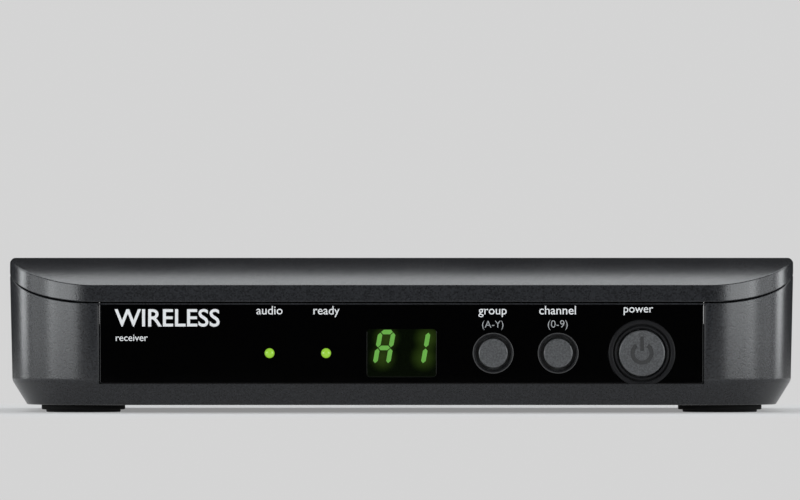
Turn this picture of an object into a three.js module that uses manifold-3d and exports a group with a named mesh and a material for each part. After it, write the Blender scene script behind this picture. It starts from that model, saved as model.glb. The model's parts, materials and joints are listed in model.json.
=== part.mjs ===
// A desktop wireless receiver unit, in millimetres: +Z is up and the front faces -Y.
// The case is a tub and a cover that falls to a front lip. A gloss panel in the front holds
// a display window, two LEDs and three push buttons, and a panel in the rear the connectors.

import * as THREE from 'three';
import { mergeVertices } from 'three/addons/utils/BufferGeometryUtils.js';
import Module from 'manifold-3d';

const wasm = await Module();
wasm.setup();

// Case, overall
const CASE_WIDTH = 188;
const CASE_DEPTH = 97;
const CASE_HEIGHT = 37; // from the surface it stands on to its flat top
const FRONT_CORNER = 21;
const REAR_CORNER = 12;
const WALL = 2.2;
const FLOOR = 2.2;
const DRAFT = 0.6; // how far the walls lean in from the side seam down to the crease
const CHAMFER_RISE = 5.75;
const CHAMFER_RUN = 3.61;

// Cover and the seam under it
const FALL_DEPTH = 29.5; // from the front plane back to where the top is flat
const FALL_DROP = 6.8;
const LIP_HEIGHT = 4.1;
const TOP_EDGE = 0.8; // round edge of the flat top
const SEAM_GAP = 0.3;
const SEAM_RISE = 6.9; // from the front lip up to the side seam
const SEAM_SLOPE = 0.375;
const SEAM_STRAIGHT = 14;
const SEAM_LEVEL = 24; // depth behind which the seam is level
const TONGUE_THICK = 1.2;

// Feet
const FOOT_RADIUS = 10;
const FOOT_PAD_RADIUS = 8.9;
const FOOT_FLANGE = 1.15;
const FOOT_PAD = 0.6;
const FRONT_FOOT_FROM_SIDE = 17.8;
const REAR_FOOT_FROM_SIDE = 14.8;
const FOOT_FROM_END = 17.5;

// Clearances
const FIT = 0.2; // between pieces that slide together
const SHAFT_FIT = 0.15; // between a screw or pin and its hole

// Front panel and what it holds, from its right end towards the left
const PANEL_FROM_SIDE = 22.5;
const PANEL_THICK = 2;
const PANEL_SET = 0.4; // below the face of the wall at the crease
const PANEL_STRIP = 0.55; // wall left between the panel and the front seam
const PANEL_CORNER = 0.6;
const SEAT_DEPTH = 1.4; // of the blocks that a panel rests against
const SEAT_WIDTH = 2.5; // of what they cover behind each end of the panel
const SEAT_SHORT = 1.5; // how far they stop from the panel's long edges
const CONTROL_RISE = 6.6; // of the row of controls above the crease
const POWER_FROM_END = 14.55;
const CHANNEL_TO_POWER = 19.85;
const GROUP_TO_CHANNEL = 15.4;
const DISPLAY_TO_GROUP = 21.7;
const READY_TO_DISPLAY = 17.9;
const AUDIO_TO_READY = 13.4;
const WINDOW_WIDTH = 16.6;
const WINDOW_HEIGHT = 11.4;
const WINDOW_CORNER = 0.9;
const WINDOW_SET = 0.2;
const LED_RADIUS = 1.2;
const LED_SKIRT = 0.4;
const LED_PROUD = 0.25;
const LED_CROWN = 0.3; // round edge of the lens

// Buttons: the small pair and the power button
const SMALL_RADIUS = 3.55;
const SMALL_RING_GAP = 0.65; // from the button to the inside of its ring
const SMALL_RING_WIDTH = 0.75;
const SMALL_TRAVEL = 0.5;
const POWER_RADIUS = 5.45;
const POWER_RING_GAP = 1.05;
const POWER_RING_WIDTH = 1.4;
const POWER_TRAVEL = 1.2;
const RING_PROUD = 0.3;
const RING_FLANGE = 1; // width and thickness of the flange behind the panel
const BUTTON_PROUD = 0.85;
const BUTTON_EDGE = 0.35;
const BUTTON_FLANGE = 0.8;
const PLUNGER_RADIUS = 1.5;
const PLUNGER_SPARE = 0.3; // what still stands out of the switch when pressed
const PLUNGER_DEPTH = 1; // inside the switch, at rest
const SMALL_SWITCH = 6;
const POWER_SWITCH = 8.5;

// Circuit boards
const BOARD_THICK = 1.6;
const FRONT_BOARD_GAP = 7; // from the back of the panel to the front board
const FRONT_BOARD_END = 9; // past the outer LED and the power button
const FRONT_BOARD_TOP = 24;
const DISPLAY_GAP = 0.4;
const DISPLAY_BORDER = 0.6; // of the module behind the window's edges
const GUIDE_THICK = 1.8;
const GUIDE_HEIGHT = 9;
const STANDOFF = 2.5;
const STANDOFF_RADIUS = 3;
const MAIN_FROM_SIDE = 17;
const MAIN_FROM_FRONT = 25.5;
const MAIN_FROM_REAR = 5.5;
const BOARD_SCREW_INSET = 5.5;
const BOARD_SCREW_RADIUS = 1;
const BOARD_SCREW_HEAD = 2.3;
const BOARD_SCREW_HEIGHT = 1.4;
const BOARD_SCREW_LENGTH = 3.2;

// Case screws and their bosses
const SCREW_FROM_SIDE = 34;
const SCREW_FROM_FRONT = 20.5;
const SCREW_FROM_REAR = 14.5;
const SCREW_RADIUS = 1.5;
const SCREW_HEAD_RADIUS = 2.8;
const SCREW_HEAD_HEIGHT = 2.2;
const SCREW_CROWN = 1.1; // round edge of the head
const SCREW_LENGTH = 20;
const BOSS_RADIUS = 4;
const BOSS_TOP = 16;
const BOSS_SOLID = 4; // of the cover's boss above its bore
const SINK_DEPTH = 4;
const SINK_RADIUS = 3.4;

// Rear panel and its connectors
const REAR_FROM_SIDE = 18;
const REAR_STRIP = 2; // wall left between the rear panel and the side seam
const REAR_SILL = 0.7; // wall left between the rear panel and the crease
const XLR_X = 0;
const XLR_BORE = 8.4;
const XLR_WALL = 1.35;
const XLR_LIP = 1.65; // of the flange beyond the shell
const XLR_FLANGE_THICK = 1.2;
const XLR_REACH = 2; // behind the rear of the case
const XLR_INSIDE = 20;
const XLR_INSERT = 4;
const XLR_PIN_RADIUS = 1.2;
const XLR_PIN_CIRCLE = 4;
const XLR_PIN_SET = 2.2; // pin tips below the mouth
const XLR_PIN_TAIL = 2.5;
const XLR_PIN_ROUND = 0.7;
const PHONE_X = -26;
const PHONE_RISE = 9; // of its axis above the board
const PHONE_BORE = 3.25;
const PHONE_BUSH_WALL = 1.45;
const PHONE_NUT_LIP = 2.5;
const PHONE_NUT_THICK = 2.4;
const PHONE_BUSH_END = 0.3; // of the bush past its nut
const PHONE_FLOOR = 2;
const PHONE_WIDTH = 16;
const PHONE_HEIGHT = 17;
const PHONE_LENGTH = 26;
const DC_X = 30;
const DC_WIDTH = 9;
const DC_HEIGHT = 11;
const DC_LENGTH = 14;
const DC_RISE = 6.5;
const DC_BORE = 3.15;
const DC_PIN = 1.05;
const DC_BORE_DEPTH = 9;
const DC_MARGIN = 1; // round its socket, in the panel

// What stands on the main board
const CAN_PLACE = [-34, 16.5]; // in X, and from the front edge of the board
const CAN_SIZE = [38, 16, 5];
const CAN_WALL = 0.4;
// Each part's name, finish, place and size
const BOARD_PARTS = [
  ['microcontroller', 'chip', [4, 17], [10, 10, 1.4]],
  ['audio_chip', 'chip', [24, 14], [7, 7, 1.2]],
  ['crystal', 'nickel', [-8, 14], [4, 11, 3.5]],
  ['regulator', 'chip', [46, 12], [10, 9, 4.5]],
];
const ANTENNA_FROM_END = 11; // of the board
const ANTENNA_HEIGHT = 13;
const ANTENNA_THICK = 0.6;
const ANTENNA_FOOT = 3;
const ANTENNA_INSET = 3;
const RIBBON_WIDTH = 14;
const RIBBON_THICK = 0.5;
const RIBBON_BEND = 3;
const RIBBON_Z = 18;
const HEADER_SIZE = [17, 4, 3];
const HEADER_INSET = 5;
const CAPACITOR_PLACES = [[46, 26], [44, 38]];
const CAPACITOR_RADIUS = 4;
const CAPACITOR_HEIGHT = 11;

// Smoothness
const CORNER_STEPS = 7;
const ROUND_STEPS = 28;
const SMALL_STEPS = 14;
const BEVEL_STEPS = 3;
const REACH = 200; // longer than any piece, for cuts that pass right through
const PAST = 1; // how far a cut or a join runs past the face that it meets

// Places worked out from the sizes
const HALF = CASE_WIDTH / 2;
const FRONT = -CASE_DEPTH / 2;
const REAR = CASE_DEPTH / 2;
const UNDERSIDE = FOOT_FLANGE + FOOT_PAD;
const FLOOR_TOP = UNDERSIDE + FLOOR;
const CREASE = UNDERSIDE + CHAMFER_RISE;
const SEAM_FRONT = CASE_HEIGHT - FALL_DROP - LIP_HEIGHT;
const SEAM_SIDE = SEAM_FRONT + SEAM_RISE;

const MODULE_WIDTH = WINDOW_WIDTH + 2 * DISPLAY_BORDER;
const MODULE_HEIGHT = WINDOW_HEIGHT + 2 * DISPLAY_BORDER;
const PANEL_HALF = HALF - PANEL_FROM_SIDE;
const PANEL_FACE = FRONT + DRAFT + PANEL_SET;
const PANEL_BACK = PANEL_FACE + PANEL_THICK;
const PANEL_BOTTOM = CREASE - PANEL_SET * (CHAMFER_RISE / CHAMFER_RUN);
const PANEL_TOP = SEAM_FRONT - PANEL_STRIP;
const CONTROL_Z = CREASE + CONTROL_RISE;
const POWER_X = PANEL_HALF - POWER_FROM_END;
const CHANNEL_X = POWER_X - CHANNEL_TO_POWER;
const GROUP_X = CHANNEL_X - GROUP_TO_CHANNEL;
const DISPLAY_X = GROUP_X - DISPLAY_TO_GROUP;
const READY_X = DISPLAY_X - READY_TO_DISPLAY;
const AUDIO_X = READY_X - AUDIO_TO_READY;
const RING_BACK = PANEL_BACK + RING_FLANGE;
const SMALL_RING_INNER = SMALL_RADIUS + SMALL_RING_GAP;
const SMALL_RING_OUTER = SMALL_RING_INNER + SMALL_RING_WIDTH;
const POWER_RING_INNER = POWER_RADIUS + POWER_RING_GAP;
const POWER_RING_OUTER = POWER_RING_INNER + POWER_RING_WIDTH;
const BUTTON_BACK = RING_BACK + FIT + BUTTON_FLANGE;

const FRONT_BOARD = PANEL_BACK + FRONT_BOARD_GAP;
const FRONT_BOARD_LEFT = AUDIO_X - FRONT_BOARD_END;
const FRONT_BOARD_RIGHT = POWER_X + FRONT_BOARD_END;
const FRONT_BOARD_FOOT = FLOOR_TOP + FIT;

const MAIN_HALF = HALF - MAIN_FROM_SIDE;
const MAIN_FRONT = FRONT + MAIN_FROM_FRONT;
const MAIN_REAR = REAR - MAIN_FROM_REAR;
const MAIN_UNDER = FLOOR_TOP + STANDOFF;
const MAIN_TOP = MAIN_UNDER + BOARD_THICK;

const REAR_HALF = HALF - REAR_FROM_SIDE;
const REAR_FACE = REAR - DRAFT - PANEL_SET;
const REAR_INNER = REAR_FACE - PANEL_THICK;
const REAR_BOTTOM = CREASE + REAR_SILL;
const REAR_TOP = SEAM_SIDE - REAR_STRIP;
const XLR_Z = (REAR_BOTTOM + REAR_TOP) / 2;
const XLR_RADIUS = XLR_BORE + XLR_WALL;
const XLR_FLANGE = XLR_RADIUS + XLR_LIP;
const XLR_MOUTH = REAR + XLR_REACH;
const XLR_BACK = REAR_INNER - XLR_INSIDE;
const PHONE_THREAD = PHONE_BORE + PHONE_BUSH_WALL;
const PHONE_NUT = PHONE_THREAD + PHONE_NUT_LIP;
const PHONE_Z = MAIN_TOP + PHONE_RISE;
const DC_Z = MAIN_TOP + DC_RISE;
const BOSS_ROOT = CASE_HEIGHT - WALL / 2 - PAST; // inside the top of the cover
const BOSS_BLIND = CASE_HEIGHT - WALL - BOSS_SOLID;
const SCREW_X = HALF - SCREW_FROM_SIDE;
const SCREW_YS = [FRONT + SCREW_FROM_FRONT, REAR - SCREW_FROM_REAR];
const BOARD_SCREW_YS = [MAIN_FRONT + BOARD_SCREW_INSET, MAIN_REAR - BOARD_SCREW_INSET];
const BOARD_SCREW_X = MAIN_HALF - BOARD_SCREW_INSET;
const SIDES = [['left', -1], ['right', 1]];
const ENDS = ['front', 'rear'];

// Finishes: colour, roughness and metalness
const FINISHES = {
  case: [0x5e5f62, 0.55, 0],
  gloss: [0x050506, 0.08, 0],
  window: [0x0a1208, 0.12, 0],
  button: [0x66676a, 0.5, 0],
  rubber: [0x101010, 0.85, 0],
  led: [0x9ed045, 0.3, 0],
  board: [0x14502c, 0.45, 0],
  steel: [0xb9bcc0, 0.35, 1],
  nickel: [0xc8c6c0, 0.25, 1],
  chip: [0x161618, 0.5, 0],
  plastic: [0x1b1b1d, 0.6, 0],
  ribbon: [0xd8d6cf, 0.5, 0],
};

const receiver = new THREE.Group();
receiver.position.y = -XLR_REACH / 2;

function addPiece(name, geometry, finish) {
  const [color, roughness, metalness] = FINISHES[finish];
  const material = new THREE.MeshStandardMaterial({ color, roughness, metalness });
  const mesh = new THREE.Mesh(geometry, material);
  mesh.name = name;
  receiver.add(mesh);
  return mesh;
}

// --- solids -------------------------------------------------------------------------------

function solid(geometry) {
  const bare = geometry.clone();
  bare.deleteAttribute('normal');
  bare.deleteAttribute('uv');
  const merged = mergeVertices(bare, 1e-5);
  return new wasm.Manifold(new wasm.Mesh({
    numProp: 3,
    vertProperties: new Float32Array(merged.attributes.position.array),
    triVerts: new Uint32Array(merged.index.array),
  }));
}

function geometryOf(manifold) {
  const mesh = manifold.getMesh();
  const geometry = new THREE.BufferGeometry();
  geometry.setAttribute('position', new THREE.BufferAttribute(mesh.vertProperties, 3));
  geometry.setIndex(new THREE.BufferAttribute(mesh.triVerts, 1));
  geometry.computeVertexNormals();
  return geometry;
}

function span(a, b) {
  return [Math.min(a, b), Math.max(a, b)];
}

function block([x0, x1], [y0, y1], [z0, z1]) {
  const geometry = new THREE.BoxGeometry(x1 - x0, y1 - y0, z1 - z0);
  return geometry.translate((x0 + x1) / 2, (y0 + y1) / 2, (z0 + z1) / 2);
}

// A solid of revolution about an axis along Y, from [radius, y] pairs with y rising.
function turnedY(profile, x, z, steps = ROUND_STEPS) {
  const points = profile.map(([r, y]) => new THREE.Vector2(r, y));
  return new THREE.LatheGeometry(points, steps).translate(x, 0, z);
}

// A solid of revolution about an axis along Z, from [radius, z] pairs with z rising.
function turnedZ(profile, x, y, steps = SMALL_STEPS) {
  const points = profile.map(([r, z]) => new THREE.Vector2(r, z));
  return new THREE.LatheGeometry(points, steps).rotateX(Math.PI / 2).translate(x, y, 0);
}

function rodY(radius, [y0, y1], x, z, steps = ROUND_STEPS) {
  return turnedY([[0, y0], [radius, y0], [radius, y1], [0, y1]], x, z, steps);
}

function rodZ(radius, [z0, z1], x, y, steps = SMALL_STEPS) {
  return turnedZ([[0, z0], [radius, z0], [radius, z1], [0, z1]], x, y, steps);
}

// An outline in X and Z, given its depth along Y.
function plateY(shape, [y0, y1]) {
  const options = { depth: y1 - y0, bevelEnabled: false, curveSegments: CORNER_STEPS };
  const geometry = new THREE.ExtrudeGeometry(shape, options);
  return geometry.rotateX(Math.PI / 2).translate(0, y1, 0);
}

// An outline in Y and Z, given its width along X.
function plateX(shape, [x0, x1]) {
  const options = { depth: x1 - x0, bevelEnabled: false, curveSegments: CORNER_STEPS };
  const geometry = new THREE.ExtrudeGeometry(shape, options);
  const turn = new THREE.Matrix4().makeBasis(
    new THREE.Vector3(0, 1, 0), new THREE.Vector3(0, 0, 1), new THREE.Vector3(1, 0, 0));
  return geometry.applyMatrix4(turn).translate(x0, 0, 0);
}

function roundedRectangle(x, y, width, height, radius) {
  const shape = new THREE.Shape();
  const [left, right] = [x - width / 2, x + width / 2];
  const [low, high] = [y - height / 2, y + height / 2];
  shape.moveTo(left + radius, low);
  shape.lineTo(right - radius, low);
  shape.absarc(right - radius, low + radius, radius, -Math.PI / 2, 0);
  shape.absarc(right - radius, high - radius, radius, 0, Math.PI / 2);
  shape.absarc(left + radius, high - radius, radius, Math.PI / 2, Math.PI);
  shape.absarc(left + radius, low + radius, radius, Math.PI, Math.PI * 1.5);
  return shape;
}

// --- case ---------------------------------------------------------------------------------

// The outline of the case seen from above, moved in by inset.
function caseOutline(inset) {
  const half = HALF - inset;
  const [front, rear] = [FRONT + inset, REAR - inset];
  const [near, far] = [FRONT_CORNER - inset, REAR_CORNER - inset];
  const shape = new THREE.Shape();
  shape.moveTo(-half + near, front);
  shape.absarc(half - near, front + near, near, -Math.PI / 2, 0);
  shape.absarc(half - far, rear - far, far, 0, Math.PI / 2);
  shape.absarc(-half + far, rear - far, far, Math.PI / 2, Math.PI);
  shape.absarc(-half + near, front + near, near, Math.PI, Math.PI * 1.5);
  return shape;
}

// A closed skin over level copies of the case outline, from [inset, height] pairs.
function stackedCase(levels) {
  const rings = levels.map(([inset]) => {
    const points = caseOutline(inset).getPoints(CORNER_STEPS);
    return points[0].distanceTo(points.at(-1)) < 1e-6 ? points.slice(0, -1) : points;
  });
  const count = rings[0].length;
  const positions = rings.flatMap((ring, i) => ring.flatMap((p) => [p.x, p.y, levels[i][1]]));
  const last = (rings.length - 1) * count;
  const index = [];
  for (let i = 0; i < last; i += count) {
    for (let j = 0; j < count; j += 1) {
      const next = (j + 1) % count;
      index.push(i + j, i + next, i + count + next, i + j, i + count + next, i + count + j);
    }
  }
  for (const [a, b, c] of THREE.ShapeUtils.triangulateShape(rings[0], [])) {
    index.push(c, b, a, last + a, last + b, last + c);
  }
  const geometry = new THREE.BufferGeometry();
  geometry.setAttribute('position', new THREE.Float32BufferAttribute(positions, 3));
  geometry.setIndex(index);
  return solid(geometry);
}

function straightCase(inset, [low, high]) {
  return stackedCase([[inset, low], [inset, high]]);
}

// The tub that leans in to the crease and then runs in along the chamfer to its underside.
function tub(inset, low) {
  return stackedCase([
    [inset + DRAFT + CHAMFER_RUN, low],
    [inset + DRAFT, low + CHAMFER_RISE],
    [inset, SEAM_SIDE],
    [inset, SEAM_SIDE + PAST],
  ]);
}

// The block that the cover is cut from, with its top edge rounded.
function coverBlank() {
  const levels = [[0, SEAM_FRONT - PAST], [0, CASE_HEIGHT - TOP_EDGE]];
  for (let step = 1; step <= BEVEL_STEPS; step += 1) {
    const angle = (step / BEVEL_STEPS) * (Math.PI / 2);
    const inset = TOP_EDGE * (1 - Math.cos(angle));
    levels.push([inset, CASE_HEIGHT - TOP_EDGE * (1 - Math.sin(angle))]);
  }
  return stackedCase(levels);
}

// Traces the seam from the front to past the rear, at a height above or below it.
function traceSeam(shape, shift) {
  const straightRise = SEAM_SLOPE * SEAM_STRAIGHT;
  const control = SEAM_STRAIGHT + (SEAM_RISE - straightRise) / SEAM_SLOPE;
  shape.moveTo(FRONT - PAST, SEAM_FRONT - SEAM_SLOPE * PAST + shift);
  shape.lineTo(FRONT + SEAM_STRAIGHT, SEAM_FRONT + straightRise + shift);
  shape.quadraticCurveTo(
    FRONT + control, SEAM_SIDE + shift, FRONT + SEAM_LEVEL, SEAM_SIDE + shift);
  shape.lineTo(REAR + PAST, SEAM_SIDE + shift);
}

// Closes an outline over the flat top and down the front fall, lowered by shift.
function traceTop(shape, shift) {
  const radius = (FALL_DEPTH ** 2 + FALL_DROP ** 2) / (2 * FALL_DROP);
  const top = CASE_HEIGHT - shift;
  const end = Math.PI / 2 + Math.asin((FALL_DEPTH + PAST) / radius);
  shape.lineTo(REAR + PAST, top + PAST);
  shape.lineTo(FRONT + FALL_DEPTH, top + PAST);
  shape.absarc(FRONT + FALL_DEPTH, top - radius, radius, Math.PI / 2, end);
}

function coverSide() {
  const shape = new THREE.Shape();
  traceSeam(shape, SEAM_GAP / 2);
  traceTop(shape, 0);
  return solid(plateX(shape, [-HALF - PAST, HALF + PAST]));
}

function belowSeam(shift) {
  const shape = new THREE.Shape();
  traceSeam(shape, shift);
  shape.lineTo(REAR + PAST, -PAST);
  shape.lineTo(FRONT - PAST, -PAST);
  return solid(plateX(shape, [-HALF - PAST, HALF + PAST]));
}

// The rim that hangs inside the walls of the tub, behind the sloping part of the seam.
function coverTongue() {
  const ceiling = CASE_HEIGHT - WALL / 2;
  const low = REAR_TOP + 2 * FIT;
  const shoulder = SEAM_SIDE + SEAM_GAP / 2;
  const inner = WALL + FIT + TONGUE_THICK;
  const upper = straightCase(WALL / 2, [shoulder, ceiling]);
  const lower = straightCase(WALL + FIT, [low, shoulder + FIT]);
  const hollow = straightCase(inner, [low - PAST, ceiling + PAST]);
  const behind = [FRONT + FALL_DEPTH, REAR + PAST];
  const keep = solid(block([-REACH, REACH], behind, [0, CASE_HEIGHT]));
  return upper.add(lower).subtract(hollow).intersect(keep);
}

function topCover() {
  const cavity = straightCase(WALL, [0, CASE_HEIGHT - WALL]).intersect(cavitySide());
  let cover = coverBlank().intersect(coverSide()).subtract(cavity).add(coverTongue());
  for (const x of [-SCREW_X, SCREW_X]) {
    for (const y of SCREW_YS) {
      const boss = rodZ(BOSS_RADIUS, [BOSS_TOP + SEAM_GAP, BOSS_ROOT], x, y);
      const bore = rodZ(SCREW_RADIUS + SHAFT_FIT, [0, BOSS_BLIND], x, y);
      cover = cover.add(solid(boss)).subtract(solid(bore));
    }
  }
  return geometryOf(cover);
}

// The space under the cover, seen from the side.
function cavitySide() {
  const shape = new THREE.Shape();
  shape.moveTo(FRONT - PAST, 0);
  shape.lineTo(REAR + PAST, 0);
  traceTop(shape, WALL);
  return solid(plateX(shape, [-HALF - PAST, HALF + PAST]));
}

// Blocks at both ends of a panel that it rests against, and the opening that it fills.
function panelSeats(tubSolid, half, faceSide, back, [low, high]) {
  const rest = back - faceSide * FIT;
  const root = span(back + faceSide * SEAT_DEPTH / 2, rest - faceSide * SEAT_DEPTH);
  let result = tubSolid;
  for (const [, side] of SIDES) {
    const across = span(side * (half - SEAT_WIDTH), side * (half + SEAT_WIDTH));
    const up = [low + SEAT_SHORT, high - SEAT_SHORT];
    result = result.add(solid(block(across, root, up)));
  }
  const through = span(faceSide * REACH, rest);
  const hole = block([-half - FIT, half + FIT], through, [low - FIT, high + FIT]);
  return result.subtract(solid(hole));
}

// Room cut out of the chamfered foot of a wall for what stands behind a panel. It runs
// a little way into the panel's opening.
function bay(across, deep) {
  return solid(block(across, deep, [FLOOR_TOP + PAST, PANEL_TOP]));
}

// Slotted uprights on the floor that hold both ends of the front board.
function boardGuide(x, side) {
  const slot = BOARD_THICK + 2 * FIT;
  const y = [FRONT_BOARD - FIT - GUIDE_THICK, FRONT_BOARD + slot - FIT + GUIDE_THICK];
  const across = span(x - side * GUIDE_THICK, x + side * (FIT + GUIDE_THICK));
  const cut = span(x - side * 2 * GUIDE_THICK, x + side * FIT);
  const upright = solid(block(across, y, [FLOOR_TOP - PAST, FLOOR_TOP + GUIDE_HEIGHT]));
  const slotY = [FRONT_BOARD - FIT, FRONT_BOARD - FIT + slot];
  return upright.subtract(solid(block(cut, slotY, [FLOOR_TOP, CASE_HEIGHT])));
}

function lowerCase() {
  let tubSolid = tub(0, UNDERSIDE).intersect(belowSeam(-SEAM_GAP / 2));
  tubSolid = tubSolid.subtract(tub(WALL, FLOOR_TOP));
  const controlDepth = [PANEL_BACK + FIT / 2, FRONT_BOARD + BOARD_THICK];
  tubSolid = tubSolid.subtract(bay([FRONT_BOARD_LEFT, FRONT_BOARD_RIGHT], controlDepth));
  const sockets = [PHONE_X - PHONE_WIDTH / 2 - FIT, DC_X + DC_WIDTH / 2 + FIT];
  tubSolid = tubSolid.subtract(bay(sockets, [MAIN_REAR, REAR_INNER - FIT / 2]));
  tubSolid = panelSeats(tubSolid, PANEL_HALF, -1, PANEL_BACK, [PANEL_BOTTOM, PANEL_TOP]);
  tubSolid = panelSeats(tubSolid, REAR_HALF, 1, REAR_INNER, [REAR_BOTTOM, REAR_TOP]);
  tubSolid = tubSolid.add(boardGuide(FRONT_BOARD_LEFT, -1));
  tubSolid = tubSolid.add(boardGuide(FRONT_BOARD_RIGHT, 1));
  for (const [, side] of SIDES) {
    for (const y of SCREW_YS) {
      const x = side * SCREW_X;
      tubSolid = tubSolid.add(solid(rodZ(BOSS_RADIUS, [FLOOR_TOP - PAST, BOSS_TOP], x, y)));
      tubSolid = tubSolid.subtract(solid(rodZ(SCREW_RADIUS + SHAFT_FIT, [0, REACH], x, y)));
      const sink = rodZ(SINK_RADIUS, [0, UNDERSIDE + SINK_DEPTH], x, y);
      tubSolid = tubSolid.subtract(solid(sink));
    }
    for (const y of BOARD_SCREW_YS) {
      const x = side * BOARD_SCREW_X;
      const post = rodZ(STANDOFF_RADIUS, [FLOOR_TOP - PAST, MAIN_UNDER], x, y);
      const pilot = rodZ(BOARD_SCREW_RADIUS + SHAFT_FIT, [FLOOR_TOP, REACH], x, y);
      tubSolid = tubSolid.add(solid(post)).subtract(solid(pilot));
    }
  }
  return geometryOf(tubSolid);
}

function foot(x, y) {
  const profile = [
    [0, 0],
    [FOOT_PAD_RADIUS, 0],
    [FOOT_PAD_RADIUS, FOOT_PAD],
    [FOOT_RADIUS, FOOT_PAD],
    [FOOT_RADIUS, UNDERSIDE],
    [0, UNDERSIDE],
  ];
  return turnedZ(profile, x, y, ROUND_STEPS);
}

function caseScrew(x, y) {
  const seat = UNDERSIDE + SINK_DEPTH;
  const profile = [
    [0, seat - SCREW_HEAD_HEIGHT],
    [SCREW_HEAD_RADIUS - SCREW_CROWN, seat - SCREW_HEAD_HEIGHT],
    [SCREW_HEAD_RADIUS, seat - SCREW_HEAD_HEIGHT + SCREW_CROWN],
    [SCREW_HEAD_RADIUS, seat],
    [SCREW_RADIUS, seat],
    [SCREW_RADIUS, seat + SCREW_LENGTH - SCREW_RADIUS],
    [0, seat + SCREW_LENGTH],
  ];
  return turnedZ(profile, x, y);
}

function buildCase() {
  addPiece('top_cover', topCover(), 'case');
  addPiece('lower_case', lowerCase(), 'case');
  const footInsets = [FRONT_FOOT_FROM_SIDE, REAR_FOOT_FROM_SIDE];
  const footYs = [FRONT + FOOT_FROM_END, REAR - FOOT_FROM_END];
  for (const [sideName, side] of SIDES) {
    ENDS.forEach((end, i) => {
      const footX = side * (HALF - footInsets[i]);
      addPiece(`foot_${end}_${sideName}`, foot(footX, footYs[i]), 'rubber');
      const screw = caseScrew(side * SCREW_X, SCREW_YS[i]);
      addPiece(`case_screw_${end}_${sideName}`, screw, 'steel');
    });
  }
}

// --- front panel --------------------------------------------------------------------------

function frontPanel() {
  const height = PANEL_TOP - PANEL_BOTTOM;
  const middle = (PANEL_TOP + PANEL_BOTTOM) / 2;
  const outline = roundedRectangle(0, middle, 2 * PANEL_HALF, height, PANEL_CORNER);
  const through = [PANEL_FACE - PAST, PANEL_BACK + PAST];
  let panel = solid(plateY(outline, [PANEL_FACE, PANEL_BACK]));
  const opening = roundedRectangle(DISPLAY_X, CONTROL_Z,
    WINDOW_WIDTH + 2 * FIT, WINDOW_HEIGHT + 2 * FIT, WINDOW_CORNER + FIT);
  panel = panel.subtract(solid(plateY(opening, through)));
  const holes = [
    [AUDIO_X, LED_RADIUS + SHAFT_FIT],
    [READY_X, LED_RADIUS + SHAFT_FIT],
    [GROUP_X, SMALL_RING_OUTER + FIT],
    [CHANNEL_X, SMALL_RING_OUTER + FIT],
    [POWER_X, POWER_RING_OUTER + FIT],
  ];
  for (const [x, radius] of holes) {
    panel = panel.subtract(solid(rodY(radius, through, x, CONTROL_Z)));
  }
  return geometryOf(panel);
}

function displayWindow() {
  const outline = roundedRectangle(
    DISPLAY_X, CONTROL_Z, WINDOW_WIDTH, WINDOW_HEIGHT, WINDOW_CORNER);
  return plateY(outline, [PANEL_FACE + WINDOW_SET, PANEL_BACK]);
}

// The ring round a button: a tube through the panel with a flange behind it.
function buttonRing(x, inner, outer) {
  const front = PANEL_FACE - RING_PROUD;
  const profile = [
    [inner, RING_BACK],
    [inner, front + RING_PROUD / 2],
    [(inner + outer) / 2, front],
    [outer, front + RING_PROUD / 2],
    [outer, PANEL_BACK],
    [outer + RING_FLANGE, PANEL_BACK],
    [outer + RING_FLANGE, RING_BACK],
    [inner, RING_BACK],
  ];
  const ring = solid(turnedY(profile, x, CONTROL_Z));
  const below = block([-REACH, REACH], [-REACH, REACH], [-REACH, PANEL_BOTTOM]);
  return geometryOf(ring.subtract(solid(below)));
}

// A round cap with a flange that stops behind its ring.
function buttonCap(x, radius, ringInner) {
  const front = PANEL_FACE - BUTTON_PROUD;
  const profile = [
    [0, front],
    [radius - BUTTON_EDGE, front],
    [radius, front + BUTTON_EDGE],
    [radius, BUTTON_BACK - BUTTON_FLANGE],
    [ringInner + FIT, BUTTON_BACK - BUTTON_FLANGE],
    [ringInner + FIT, BUTTON_BACK],
    [0, BUTTON_BACK],
  ];
  return turnedY(profile, x, CONTROL_Z);
}

function plunger(x, travel) {
  const back = BUTTON_BACK + travel + PLUNGER_SPARE + PLUNGER_DEPTH;
  return rodY(PLUNGER_RADIUS, [BUTTON_BACK, back], x, CONTROL_Z, SMALL_STEPS);
}

function pushSwitch(x, size, travel) {
  const front = BUTTON_BACK + travel + PLUNGER_SPARE;
  const across = [x - size / 2, x + size / 2];
  const up = [CONTROL_Z - size / 2, CONTROL_Z + size / 2];
  const body = solid(block(across, [front, FRONT_BOARD], up));
  const depth = [front - PAST, front + PLUNGER_DEPTH + travel + FIT];
  const well = rodY(PLUNGER_RADIUS + FIT, depth, x, CONTROL_Z, SMALL_STEPS);
  return geometryOf(body.subtract(solid(well)));
}

function indicator(x) {
  const tip = PANEL_FACE - LED_PROUD;
  const profile = [
    [0, tip],
    [LED_RADIUS - LED_CROWN, tip + LED_CROWN / 4],
    [LED_RADIUS, tip + LED_CROWN],
    [LED_RADIUS, PANEL_BACK + FIT],
    [LED_RADIUS + LED_SKIRT, PANEL_BACK + FIT],
    [LED_RADIUS + LED_SKIRT, FRONT_BOARD],
    [0, FRONT_BOARD],
  ];
  return turnedY(profile, x, CONTROL_Z, SMALL_STEPS);
}

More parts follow.
